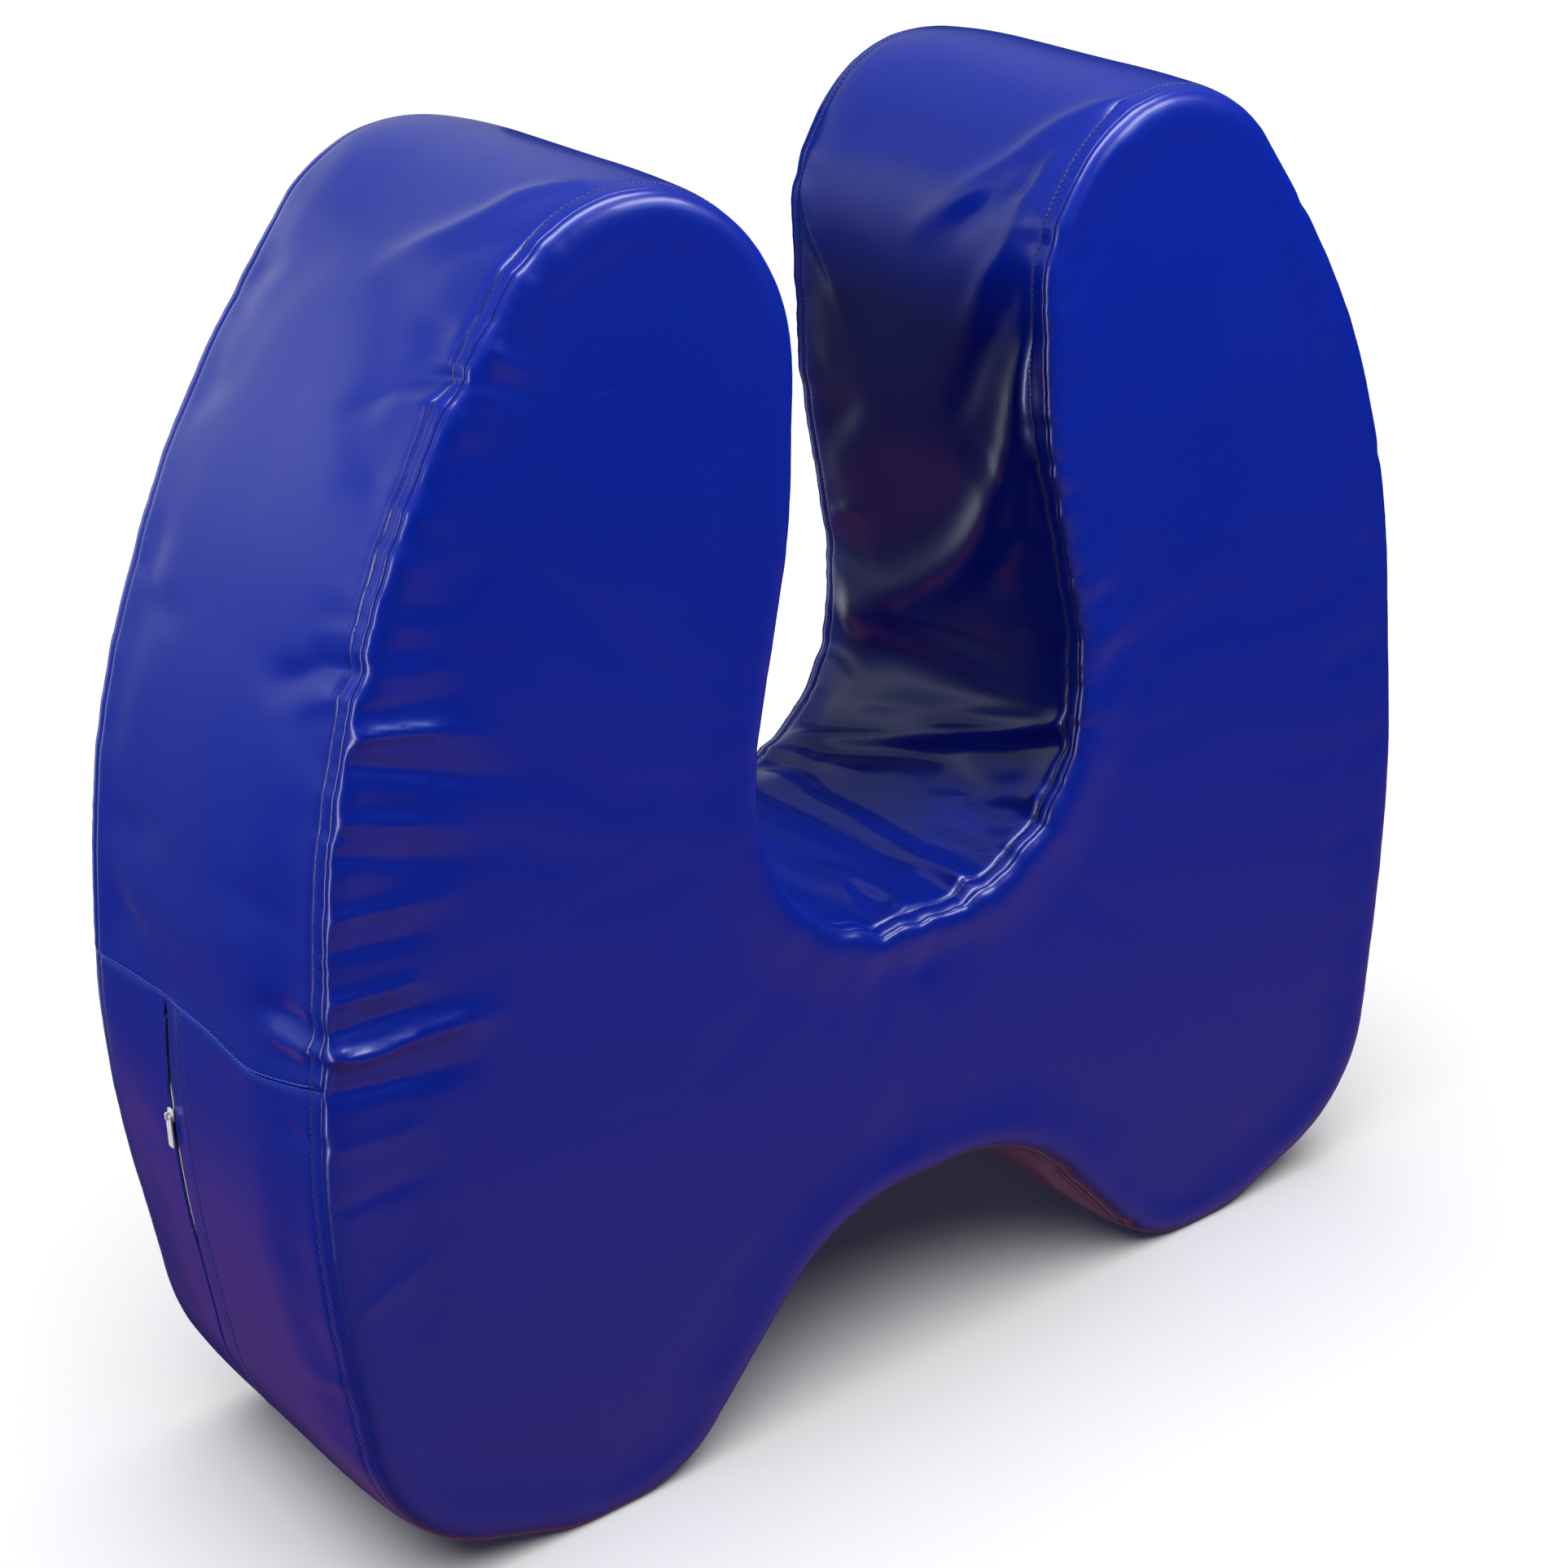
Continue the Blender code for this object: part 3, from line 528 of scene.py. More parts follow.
# ---------------------------------------------------------------- folds drawn in the cover
# Each row: height (negative for a valley), half width, shares of the length that fade at the
# start and at the end, then the points: along, y on the gusset and x, z on the faces.
GUSSET_FOLDS = (
    # right wall of the slot, from the lobe's top down to the floor
    (5, 15, 0, 0.35, 676, -136, 641, -109, 613, -91, 590, -66, 566, -35, 543, -6, 521, 11),
    (-3.4, 13, 0.2, 0.4, 612, -120, 570, -75, 552, -47),
    (3.4, 11, 0.1, 0.4, 631, -126, 586, -118, 554, -111, 527, -93, 495, -75, 469, -60),
    (-4.2, 15, 0.1, 0.3, 534, -126, 493, -96, 446, -69, 400, -40),
    (13, 24, 0.15, 0.10, 519, -136, 462, -130, 419, -120, 385, -104, 346, -78, 303, -36,
     261, 27, 223, 95, 205, 130),
    (-3.6, 13, 0.1, 0.3, 420, -132, 370, -112, 320, -84, 280, -40),
    (6.4, 9, 0, 0.1, 203, -146, 188, -115, 164, -56, 135, 22, 108, 103, 96, 140),
    (-5.4, 12, 0, 0.1, 182, -140, 168, -104, 146, -50, 118, 24, 92, 100),
    (2.2, 8, 0, 0.3, 205, -140, 184, -48, 148, 82, 140, 130),
    (3, 7, 0, 0.4, 80, 146, 87, 82, 92, 36, 102, -5),
    (5.8, 10, 0.2, 0, 58, 130, 55, 47, 53, -15, 47, -77, 46, -132),
    (-4.6, 12, 0.2, 0.2, 34, 120, 32, 40, 30, -30, 29, -100),
    (2.2, 8, 0.3, 0.3, 1, 60, 3, -13, 12, -61, 20, -90),
    (3.2, 8, 0.3, 0, -22, -30, -14, -60, -11, -90, -8, -132),
    (2.6, 6.5, 0.2, 0.1, -20, -60, -30, -92, -40, -126),
    (-1.8, 6, 0.3, 0.1, -26, -84, -18, -104, -12, -122),
    (2.2, 7, 0.3, 0, 100, -40, 117, -85, 138, -132),
    (1.4, 5, 0.3, 0.1, 111, -80, 112, -108, 119, -128),
    (1.8, 4.5, 0.3, 0, 51, -112, 46, -144), (1.8, 4.5, 0.3, 0, 73, -108, 85, -145),
    (2, 6, 0.1, 0.5, 296, 130, 314, 79), (1.6, 6, 0, 0.5, 134, 146, 146, 120),
    # left lobe and left flank
    (3.2, 12, 0.1, 0.4, 3722, -134, 3685, -99, 3665, -91, 3645, -72, 3627, -46, 3606, -17,
     3587, -5),
    (-1.2, 10, 0, 0.5, 3664, -140, 3640, -104, 3615, -70),
    (-4.2, 9, 0, 0.5, 3566, -146, 3552, -107, 3533, -77, 3511, -48),
    (2.4, 7, 0, 0.5, 3549, -142, 3536, -116, 3518, -86),
    (1.6, 9, 0, 0.5, 3590, -143, 3580, -118, 3562, -84),
    (-1.3, 9, 0.2, 0.5, 3500, -120, 3484, -96, 3466, -80),
    (-3.6, 9, 0, 0.5, 3384, -146, 3374, -112, 3358, -84, 3336, -66),
    (1.8, 8, 0, 0.5, 3364, -140, 3352, -112, 3340, -92),
    (1.4, 8, 0, 0.5, 3404, -142, 3398, -118, 3386, -96),
    (4.6, 8, 0, 0.4, 3136, -144, 3133, -112, 3137, -84),
    (-2.4, 7, 0, 0.4, 3154, -144, 3150, -110, 3146, -78),
    (1.2, 14, 0.4, 0.4, 3178, -90, 3184, -50, 3180, -10),
    # lower left flank, right foot and arch
    (-1.6, 7, 0, 0.5, 3074, -144, 3070, -118, 3074, -92),
    (1.4, 9, 0, 0.5, 2890, -140, 2880, -110, 2868, -84),
    (-3, 6, 0.1, 0, 2060, -140, 2050, -126, 2008, -120, 1971, -123, 1958, -146),
    (1.6, 9, 0.3, 0.3, 2050, -104, 2010, -98, 1975, -102),
    (1.2, 10, 0.1, 0.4, 2110, -140, 2120, -100, 2114, -60),
    (1.2, 10, 0.1, 0.4, 2330, -140, 2336, -90, 2330, -20),
    # left wall of the slot, the slot's rear edge, the right lobe and flank, the left rear edge
    (3, 12, 0.1, 0.3, -540, -128, -500, -100, -450, -70, -400, -20, -340, 40),
    (2.4, 11, 0.1, 0.4, -560, 130, -510, 104, -470, 70, -430, 30),
    (2.4, 8, 0, 0.3, -200, 146, -180, 100, -150, 40, -120, -30),
    (2.4, 8, 0, 0.4, -70, 140, -60, 90, -58, 30),
    (2.2, 10, 0, 0.4, 560, 136, 520, 110, 480, 80, 440, 60),
    (2.2, 7, 0, 0.4, 180, 142, 176, 110, 160, 84),
    (-3, 9, 0, 0.5, 884, 146, 900, 112, 918, 84, 936, 60),
    (1.8, 8, 0, 0.5, 898, 142, 916, 110),
    (-2.8, 9, 0, 0.5, 1066, 146, 1078, 112, 1098, 84),
    (1.6, 8, 0, 0.5, 1086, 142, 1096, 114),
    (-1.8, 9, 0, 0.5, 890, -146, 904, -118, 922, -92),
    (-1.6, 9, 0, 0.5, 1120, -146, 1128, -120, 1140, -100),
    (2.4, 7, 0, 0.4, 1310, 144, 1312, 112, 1308, 84),
    (-0.7, 9, 0, 0.5, 3380, 146, 3372, 112, 3356, 84),
    (-0.7, 9, 0, 0.5, 3560, 146, 3550, 110, 3530, 80),
)
FRONT_FOLDS = (
    (1.1, 8, 0, 0.5, -452, 678, -404, 670, -351, 661),
    (-1.3, 8, 0, 0.5, -448, 654, -421, 651, -353, 643),
    (3.4, 6.5, 0, 0.5, -466, 642, -442, 638, -412, 633, -378, 623, -345, 610),
    (-2.5, 9, 0, 0.5, -462, 626, -440, 618, -403, 604, -357, 587, -310, 570),
    (2.2, 8, 0, 0.5, -474, 590, -450, 584, -417, 573, -360, 554),
    (-2, 8, 0, 0.5, -476, 568, -452, 562, -419, 550, -362, 533),
    (2.1, 8, 0, 0.5, -486, 528, -470, 526, -422, 521, -369, 515),
    (-1.8, 8, 0, 0.5, -484, 505, -464, 503, -424, 499, -388, 499),
    (2.5, 7, 0, 0.5, -489, 473, -473, 471, -439, 468, -405, 468),
    (-2.5, 7, 0, 0.5, -489, 452, -463, 451, -428, 450, -385, 449),
    (5.4, 8.5, 0, 0.45, -491, 438, -483, 435, -460, 429, -430, 430, -400, 429, -345, 422),
    (-3.1, 9, 0, 0.45, -491, 412, -473, 409, -421, 401, -360, 398),
    (1.1, 10, 0, 0.5, -489, 372, -450, 366, -400, 366),
    (-1.1, 11, 0, 0.5, -486, 330, -440, 330, -400, 334),
    (1, 12, 0, 0.5, -480, 250, -440, 262, -400, 270),
    (1.8, 9, 0, 0.6, -334, 852, -318, 840, -296, 832),
    (-1.4, 9, 0, 0.6, -346, 838, -326, 828, -304, 820),
    (-1, 10, 0, 0.5, -424, 716, -392, 706, -360, 700),
)
REAR_FOLDS = (
    (2, 7, 0, 0.5, 462, 640, 430, 634, 385, 622, 350, 612),
    (-1.5, 8, 0, 0.5, 462, 618, 430, 610, 380, 594),
    (1.4, 8, 0, 0.5, 482, 520, 440, 516, 390, 512),
    (2.4, 8, 0, 0.45, 488, 440, 450, 434, 400, 432, 350, 424),
    (-1.8, 9, 0, 0.45, 488, 414, 450, 408, 400, 404),
    (1.5, 8, 0, 0.5, -470, 560, -430, 556, -390, 548),
    (1.8, 8, 0, 0.5, -484, 455, -440, 452, -395, 450),
    (-1.5, 8, 0, 0.5, -484, 430, -440, 426, -395, 424),
    (1.2, 9, 0, 0.6, -350, 834, -326, 824, -300, 818),
    (1, 9, 0, 0.6, 350, 834, 326, 824, 300, 818),
)
FACE_FOLDS = {-1: FRONT_FOLDS, 1: REAR_FOLDS}


def fold_line(points, steps=6):
    """A smooth curve through the points of a fold."""
    ends = np.vstack([2 * points[0] - points[1], points, 2 * points[-1] - points[-2]])
    line = []
    for a, b, c, d in zip(ends, ends[1:], ends[2:], ends[3:]):
        for k in range(steps):
            t = k / steps
            square, cube = 2 * a - 5 * b + 4 * c - d, 3 * b - a - 3 * c + d
            line.append(0.5 * (2 * b + (c - a) * t + square * t**2 + cube * t**3))
    return np.array([*line, points[-1]])


def fold_height(first, second, folds):
    """Height of all folds at places given in the two measures of the table."""
    total = np.zeros(np.shape(first))
    for high, wide, fade_in, fade_out, *points in folds:
        line = fold_line(np.reshape(np.array(points, float), (-1, 2)))
        centre = line[:, 0].mean()
        place = np.stack([centre + loop_gap(first, centre), second], axis=-1)
        reach = wide * 3
        near = ((place > line.min(0) - reach) & (place < line.max(0) + reach)).all(-1)
        if not near.any():
            continue
        place = place[near]
        lengths = np.linalg.norm(np.diff(line, axis=0), axis=1)
        starts = np.concatenate([[0], np.cumsum(lengths)])
        nearest = np.full(len(place), 1e9)
        run = np.zeros(len(place))
        for k, step in enumerate(np.diff(line, axis=0)):
            t = np.clip(((place - line[k]) @ step) / max(step @ step, 1e-9), 0, 1)
            distance = np.hypot(*(place - line[k] - t[:, None] * step).T)
            closer = distance < nearest
            nearest[closer] = distance[closer]
            run[closer] = starts[k] + t[closer] * lengths[k]
        share = run / starts[-1]
        fade = np.ones(len(place))
        if fade_in:
            fade *= smooth(share / fade_in)
        if fade_out:
            fade *= smooth((1 - share) / fade_out)
        width = wide * (0.75 + 0.45 * share)
        total[near] += high * fade * (
            0.62 * bell(nearest, 0, width) + 0.38 * bell(nearest, 0, 0.5 * width)
        )
    return total


# ---------------------------------------------------------------- the seam line itself
# where a seam is drawn in: along, depth, half width
PINCHES = {
    -1: (
        (3561, 3.2, 9), (3378, 2.8, 9), (3649, 1.6, 8), (3605, 1.4, 7), (3146, 2.2, 7),
        (562, 2.4, 9), (203, 2.2, 9), (121, 2.2, 8), (84, 1.8, 7), (37, 2.2, 8), (-6, 2.0, 7),
        (-44, 2.0, 8), (2064, 2.0, 9), (1962, 1.8, 8), (886, 1.2, 9), (1120, 1.2, 9),
    ),
    1: (
        (886, 2.2, 9), (1067, 2.2, 9), (3380, 0.5, 9), (3560, 0.6, 9), (1310, 1.6, 8),
        (180, 2.2, 8), (96, 2.0, 8), (20, 2.0, 8), (-60, 2.0, 8), (560, 2.0, 9),
    ),
}
# the gusset's profile beside a seam, with the stitch row's channel
PROFILE_INSET = (
    0.25, 0.6, 1.4, 2.6, 4.4, 6.4, 8.0, 8.9, 9.4, 9.9, 10.9, 12.6, 15.0, 18.5, 23.0, 29.0, 36.0
)
PROFILE_OUT = (
    -1.2, -0.35, 0.2, 0.65, 1.0, 1.0, 0.55, -0.35, -0.9, -0.35, 0.6, 1.35, 1.55, 1.3, 0.8, 0.3, 0.0
)
EDGE_INSETS = (*PROFILE_INSET, *range(43, 79, 7))


def seam_out(along, side):
    """How far a seam stands out (positive) or is drawn in (negative)."""
    left = (0.25 * (side < 0), 3100, 3700, 60)
    total = boosted(along, 0.12, left) * wave(along, (70.0, 160.0), seed=11 + (side > 0))
    wavy = wave(along, (36.0, 60.0), seed=13 + (side > 0))
    total = total + 1.2 * window(along, -110, 150, 40) * wavy
    for centre, deep, wide in PINCHES[side]:
        total = total - deep * loop_bell(along, centre, wide)
        total = total + 0.35 * deep * loop_bell(along, centre, wide * 3)
    return total


def pucker(along, inset, side):
    """Short gathers that run square to the seam and die away from it."""
    left = (0.34 if side < 0 else 0.10, 3130, 3620, 80)
    strength = boosted(along, 0.08, left, (0.34, -90, 540, 60))
    short = wave(along, (13.0, 21.0), seed=21 + (side > 0)) * bell(inset, 0, 13.0)
    long = wave(along, (34.0, 55.0), seed=23 + (side > 0)) * bell(inset, 0, 30.0)
    return strength * (short + 1.5 * long)


def zip_quiet(along, y):
    """1 away from the zip; 0 on the strip that the slider runs over."""
    return 1 - window(along, 2850.0, 3092.0, 30.0) * (1 - rise(np.abs(y - ZIP_Y), 8.0, 16.0))


def cross_step(along):
    """The upper band stands proud at each cross seam; the lower gusset starts under it."""
    total = np.zeros(np.shape(along))
    for above in (-loop_gap(along, CROSS_RIGHT), loop_gap(along, CROSS_LEFT)):
        proud = 0.7 * bell(np.maximum(above, 0), 4, 7.0) - 0.9 * bell(above, -0.4, 0.9)
        under = 0.35 * bell(above, -8, 5.0) - 0.9 * bell(above, -0.7, 2.6)
        total = np.where((above >= -0.7) & (above < 30), total + proud, total)
        total = np.where((above < -0.7) & (above > -30), total + under, total)
    return total


def cross_sag(along, y):
    """The left cross seam is sewn higher at the front seam and hangs lower behind it."""
    sag = 8.0 * bell(y, -150.0, 26.0) - 6.0 * bell(y, -66.0, 36.0)
    return sag * loop_bell(along, CROSS_LEFT, 17.0) * (1 - loop_bell(along, CROSS_LEFT - 60, 25.0))


def lean(points):
    """Sets the block a little out of square: behind, its lobes stand over to the right and up,
    its left flank is fuller and its right foot is moved in and down; its right flank is
    fuller high up. The strip that the zip's slider runs over keeps its place."""
    moved = points.copy()
    x, y, z = points[..., 0], points[..., 1], points[..., 2]
    back = rise(y, -150.0, 300.0)
    lobes = back * rise(z, 430.0, 400.0)
    past_zip = rise(y, 66.0, 70.0)
    above_zip = rise(z, 415.0, 60.0) * rise(y, -120.0, 120.0)
    flank = rise(-x, 330.0, 90.0) * bell(z, 480.0, 205.0)
    shoulder = rise(-x, 250.0, 90.0) * bell(z, 730.0, 130.0) * back
    before_zip = rise(-y, 22.0 - ZIP_Y, 60.0)
    right_flank = 4.5 * bell(z, 700.0, 130.0) - 3.5 * before_zip * bell(z, 270.0, 110.0)
    foot = back * bell(x, 175.0, 52.0) * bell(z, 78.0, 48.0) * rise(z, 4.0, 40.0)
    moved[..., 0] += 15.0 * lobes - 5.0 * shoulder - 7.0 * foot
    moved[..., 0] -= flank * (12.5 * past_zip + 4.5 * above_zip * (1 - past_zip))
    moved[..., 0] += rise(x, 300.0, 120.0) * right_flank
    moved[..., 2] += (5.5 + 2.5 * np.tanh(x / 100.0)) * lobes - 6.0 * foot
    return moved


def soft_height(along, y):
    """Everything that bends the gusset away from its plain crowned shape."""
    front = y < 0
    inset = HALF_GUSSET - np.abs(y)
    seam = np.where(front, seam_out(along, -1), seam_out(along, 1)) * bell(inset, 0, 24.0)
    gathers = np.where(front, pucker(along, inset, -1), pucker(along, inset, 1))
    folds = fold_height(along, y, GUSSET_FOLDS) * (0.45 + 0.55 * rise(inset, 2.0, 16.0))
    folds = np.where(folds > 0, 13.0 * np.tanh(folds / 13.0), 6.0 * np.tanh(folds / 6.0))
    sway = tension(along, SEAM_FRONT + (y + HALF_GUSSET) / GUSSET_STEP, "out")
    step = cross_step(along) * np.clip((inset - 0.6) / 2, 0, 1)
    return (seam + gathers + folds + sway + step) * zip_quiet(along, y)


def gusset_point(along, y):
    """Points of the gusset's cover, and the outline's normals there."""
    along, y = np.broadcast_arrays(np.asarray(along, float), np.asarray(y, float))
    place, normal = station(along + cross_sag(along, y))
    inset = HALF_GUSSET - np.abs(y)
    share = ground_share(place, normal, clear=0.4, extra=1.5)
    raised = boosted(along, 0.38, (0.62, 3140, 3640, 60), (0.52, -110, 190, 50))
    out = (crown(y) + np.interp(inset, PROFILE_INSET, PROFILE_OUT) * raised) * share
    out = out + soft_height(along, y) * np.clip(share * 1.4, 0, 1)
    drift = tension(along, SEAM_FRONT + (y + HALF_GUSSET) / GUSSET_STEP, "y")
    drift = drift * zip_quiet(along, y) * smooth(inset / 10.0) * 0.5
    points = stand_off(place, normal, out, y + drift)
    points[..., 2] = np.maximum(points[..., 2], 0.35)
    return lean(points), normal


def smooth_gusset(along, y, depth):
    """The plain crowned surface, without folds, sunk by depth."""
    along, y, depth = np.broadcast_arrays(along, y, depth)
    place, normal = station(along)
    out = crown(y) * ground_share(place, normal) - depth
    return stand_off(place, normal, out, y), normal


# ---------------------------------------------------------------- materials
class Nodes:
    """The node tree of a material or world, with short ways to add joined nodes."""

    def __init__(self, owner, coords="Object"):
        owner.use_nodes = True
        self.owner = owner
        self.tree = owner.node_tree
        self.tree.nodes.clear()
        self.coords = self.add("TexCoord").outputs[coords] if coords else None

    def add(self, kind, inputs=None, **settings):
        """Adds a node; inputs maps its sockets to values or to other nodes' outputs."""
        node = self.tree.nodes.new("ShaderNode" + kind)
        for setting, value in settings.items():
            setattr(node, setting, value)
        for key, value in (inputs or {}).items():
            socket = node.inputs[key]
            if isinstance(value, bpy.types.NodeSocket):
                self.tree.links.new(value, socket)
            else:
                socket.default_value = (*value, 1.0) if socket.type == "RGBA" else value
        return node

    def noise(self, scale, detail=2.0, rough=0.5, at=None):
        inputs = {"Scale": scale, "Detail": detail, "Roughness": rough}
        return self.add("TexNoise", {"Vector": at or self.coords, **inputs}).outputs["Fac"]

    def cells(self, scale):
        node = self.add("TexVoronoi", {"Vector": self.coords, "Scale": scale})
        return node.outputs["Distance"]

    def stretched(self, scale, turn=(0.0, 0.0, 0.0)):
        inputs = {"Vector": self.coords, "Scale": scale, "Rotation": turn}
        return self.add("Mapping", inputs).outputs["Vector"]

    def remap(self, value, low, high, to_low=0.0, to_high=1.0):
        inputs = {"Value": value, "From Min": low, "From Max": high}
        inputs.update({"To Min": to_low, "To Max": to_high})
        return self.add("MapRange", inputs).outputs["Result"]

    def math(self, operation, a, b):
        return self.add("Math", {0: a, 1: b}, operation=operation).outputs["Value"]

    def times(self, a, b):
        return self.math("MULTIPLY", a, b)

    def mix(self, factor, a, b):
        """Blend from colour a to colour b."""
        return self.add("Mix", {0: factor, 6: a, 7: b}, data_type="RGBA").outputs[2]

    def bump(self, height, strength, distance, below=None):
        inputs = {"Height": height, "Strength": strength, "Distance": distance}
        if below is not None:
            inputs["Normal"] = below
        return self.add("Bump", inputs).outputs["Normal"]

    def finish(self, inputs):
        """Ends a material in one Principled shader."""
        shader = self.add("BsdfPrincipled", inputs)
        self.add("OutputMaterial", {"Surface": shader.outputs["BSDF"]})
        return self.owner


def material(name, coords="Object"):
    return Nodes(bpy.data.materials.new(name), coords)


def cover_material():
    """Glossy coated fabric: fine grain, slight tone drift, rubbed and scuffed patches."""
    look = material("coated_cover_blue")
    height = look.add("SeparateXYZ", {0: look.coords}).outputs["Z"]
    # painted shade and painted floor reflection: the cover grows darker and purpler towards the bottom
    tone = look.mix(look.remap(height, 0.05, 0.80), (0.0030, 0.0120, 0.225), (0.0003, 0.0130, 0.290))
    drift = look.remap(look.noise(3.2), 0.18, 0.82)
    tone = look.mix(look.times(drift, 0.22), tone, (0.001, 0.014, 0.240))
    fine = look.remap(look.noise(260.0, detail=3.0, rough=0.6), 0.35, 0.65)
    tone = look.mix(look.times(fine, 0.05), tone, (0.008, 0.040, 0.36))
    # fine diagonal scratches and pale rubbed specks
    diagonal = look.stretched((14.0, 30.0, 260.0), turn=(0.0, 0.7, 0.0))
    scratch = look.remap(look.noise(1.0, detail=4.0, rough=0.7, at=diagonal), 0.66, 0.80)
    scuff = look.times(scratch, look.remap(look.noise(5.0), 0.50, 0.66))
    speck = look.remap(look.cells(150.0), 0.05, 0.0)
    speck = look.times(speck, look.remap(look.noise(42.0, detail=1.0), 0.64, 0.70))
    tone = look.mix(look.times(scuff, 0.10), tone, (0.10, 0.11, 0.34))
    tone = look.mix(look.times(speck, 0.22), tone, (0.22, 0.23, 0.40))
    rough = look.remap(look.noise(6.0), 0.15, 0.85, to_low=0.215, to_high=0.325)
    # grain of the coating, the weave that shows through it, and its soft orange peel
    normal = look.bump(look.noise(1500.0, detail=3.0, rough=0.6), 0.10, 0.00012)
    weave = look.noise(1.0, detail=1.0, at=look.stretched((900.0, 900.0, 60.0)))
    normal = look.bump(weave, 0.035, 0.00015, below=normal)
    normal = look.bump(look.noise(95.0), 0.05, 0.0006, below=normal)
    normal = look.bump(look.noise(22.0), 0.035, 0.0025, below=normal)
    return look.finish({
        "Base Color": tone,
        "Roughness": look.math("ADD", rough, look.times(scuff, 0.16)),
        "IOR": 1.50,
        "Coat Weight": 0.22,
        "Coat Roughness": 0.11,
        "Coat IOR": 1.45,
        "Normal": normal,
    })


def foam_material():
    look = material("open_cell_foam")
    cells = look.cells(900.0)
    tone = look.mix(look.remap(cells, 0.0, 0.6), (0.42, 0.36, 0.20), (0.80, 0.72, 0.48))
    patches = look.remap(look.noise(9.0, detail=3.0), 0.3, 0.7, to_high=0.5)
    pits = look.bump(cells, 0.9, 0.0006)
    return look.finish({
        "Base Color": look.mix(patches, tone, (0.72, 0.60, 0.34)),
        "Roughness": 0.96,
        "Specular IOR Level": 0.15,
        "Normal": look.bump(look.noise(40.0, detail=3.0), 0.3, 0.002, below=pits),
    })


def thread_material(name, dark, light):
    look = material(name)
    turned = look.stretched((2600.0, 2600.0, 2600.0), turn=(0.6, 0.4, 0.2))
    twist = look.noise(1.0, detail=1.0, at=turned)
    return look.finish({
        "Base Color": look.mix(look.remap(twist, 0.35, 0.65), dark, light),
        "Roughness": 0.48,
        "Sheen Weight": 0.35,
        "Normal": look.bump(twist, 0.6, 0.0001),
    })


def tape_material():
    look = material("zip_tape_painted_shade")
    ribs = look.add("TexWave", {"Scale": 420.0, "Vector": look.coords}, bands_direction="Y")
    ribs = ribs.outputs["Fac"]
    # painted shade: the tape is near-black so that the zip's slit reads dark; the ribs are its weave
    return look.finish({
        "Base Color": look.mix(ribs, (0.006, 0.010, 0.045), (0.016, 0.024, 0.085)),
        "Roughness": 0.85,
        "Normal": look.bump(ribs, 0.6, 0.0002),
    })


def enamel_material(name, base, rough):
    """Glossy white with small worn spots."""
    look = material(name)
    wear = look.remap(look.noise(420.0, detail=4.0, rough=0.7), 0.60, 0.72)
    return look.finish({
        "Base Color": look.mix(look.times(wear, 0.45), base, (0.34, 0.31, 0.27)),
        "Roughness": look.remap(look.noise(160.0), 0.3, 0.7, rough - 0.06, rough + 0.10),
        "Metallic": 0.0,
        "Coat Weight": 0.3,
        "Coat Roughness": 0.15,
        "Normal": look.bump(look.noise(700.0), 0.15, 0.0002),
    })


COVER = cover_material()
FOAM = foam_material()
# two copies of one blue thread: a darker one with painted shade for rows in seam channels, a lighter
# one with painted light for the cross seams
THREAD_SHADED = thread_material("thread_blue_painted_shade", (0.002, 0.012, 0.12), (0.006, 0.034, 0.27))
THREAD_LIT = thread_material("thread_blue_painted_light", (0.010, 0.050, 0.34), (0.030, 0.13, 0.62))
SHADED_TAPE = tape_material()
COIL = enamel_material("zip_coil_white", (0.80, 0.80, 0.80), 0.38)
ENAMEL = enamel_material("slider_white_enamel", (0.82, 0.80, 0.76), 0.30)

# ---------------------------------------------------------------- face panels
COVER_THICK = 0.9
LOWER_THICK = 0.5
# the rim of a face panel: inset from the outline, out past the seam's plane
FACE_PROFILE = (
    (3.4, 0.0), (1.6, 0.0), (0.7, 0.25), (0.35, 0.8), (0.5, 1.4), (1.1, 2.25), (2.1, 3.2),
    (3.6, 4.15), (5.6, 4.95), (8.2, 5.55), (11.5, 5.95), (15.5, 6.05), (20.5, 5.85),
    (27.0, 5.3), (36.0, 4.6), (45.0, 4.0), (52.5, 3.6), (60.0, FACE_OUT),
)
HIDDEN_RINGS = 3  # the first rings lie in the seam and stay unfolded


def face_rings(along, side):
    """The face panel's rim, ring by ring from inside the seam inwards."""
    place, normal = station(along)
    share = np.clip(ground_share(place, normal, clear=0.4, extra=1.5) * 1.4, 0, 1)
    seam = soft_height(along, np.full(len(along), side * (HALF_GUSSET - 0.25))) * share
    rings = []
    for k, (inset, out) in enumerate(FACE_PROFILE):
        row = (SEAM_FRONT if side < 0 else SEAM_REAR) + side * inset / RING_STEP
        ring = stand_off(place, normal, -inset + seam * bell(inset, 0, 20.0), 0.0)
        x, z = ring[:, 0], ring[:, 2]
        if k >= HIDDEN_RINGS:
            pull = 0.9 * tension(along, np.full(len(along), row), "y") * side
            mix = rise(inset, 25.0, 35.0)
            soft = pull * (1 - mix) + face_tension(x, z, side) * mix
            soft = soft + fold_height(x, z, FACE_FOLDS[side]) + 0.55 * pucker(along, inset, side)
            out = out + smooth(inset / 8.0) * soft
        ring[:, 1] = side * (HALF_GUSSET + out)
        ring[:, 2] = np.maximum(z, 0.3)
        rings.append(lean(ring))
    return rings


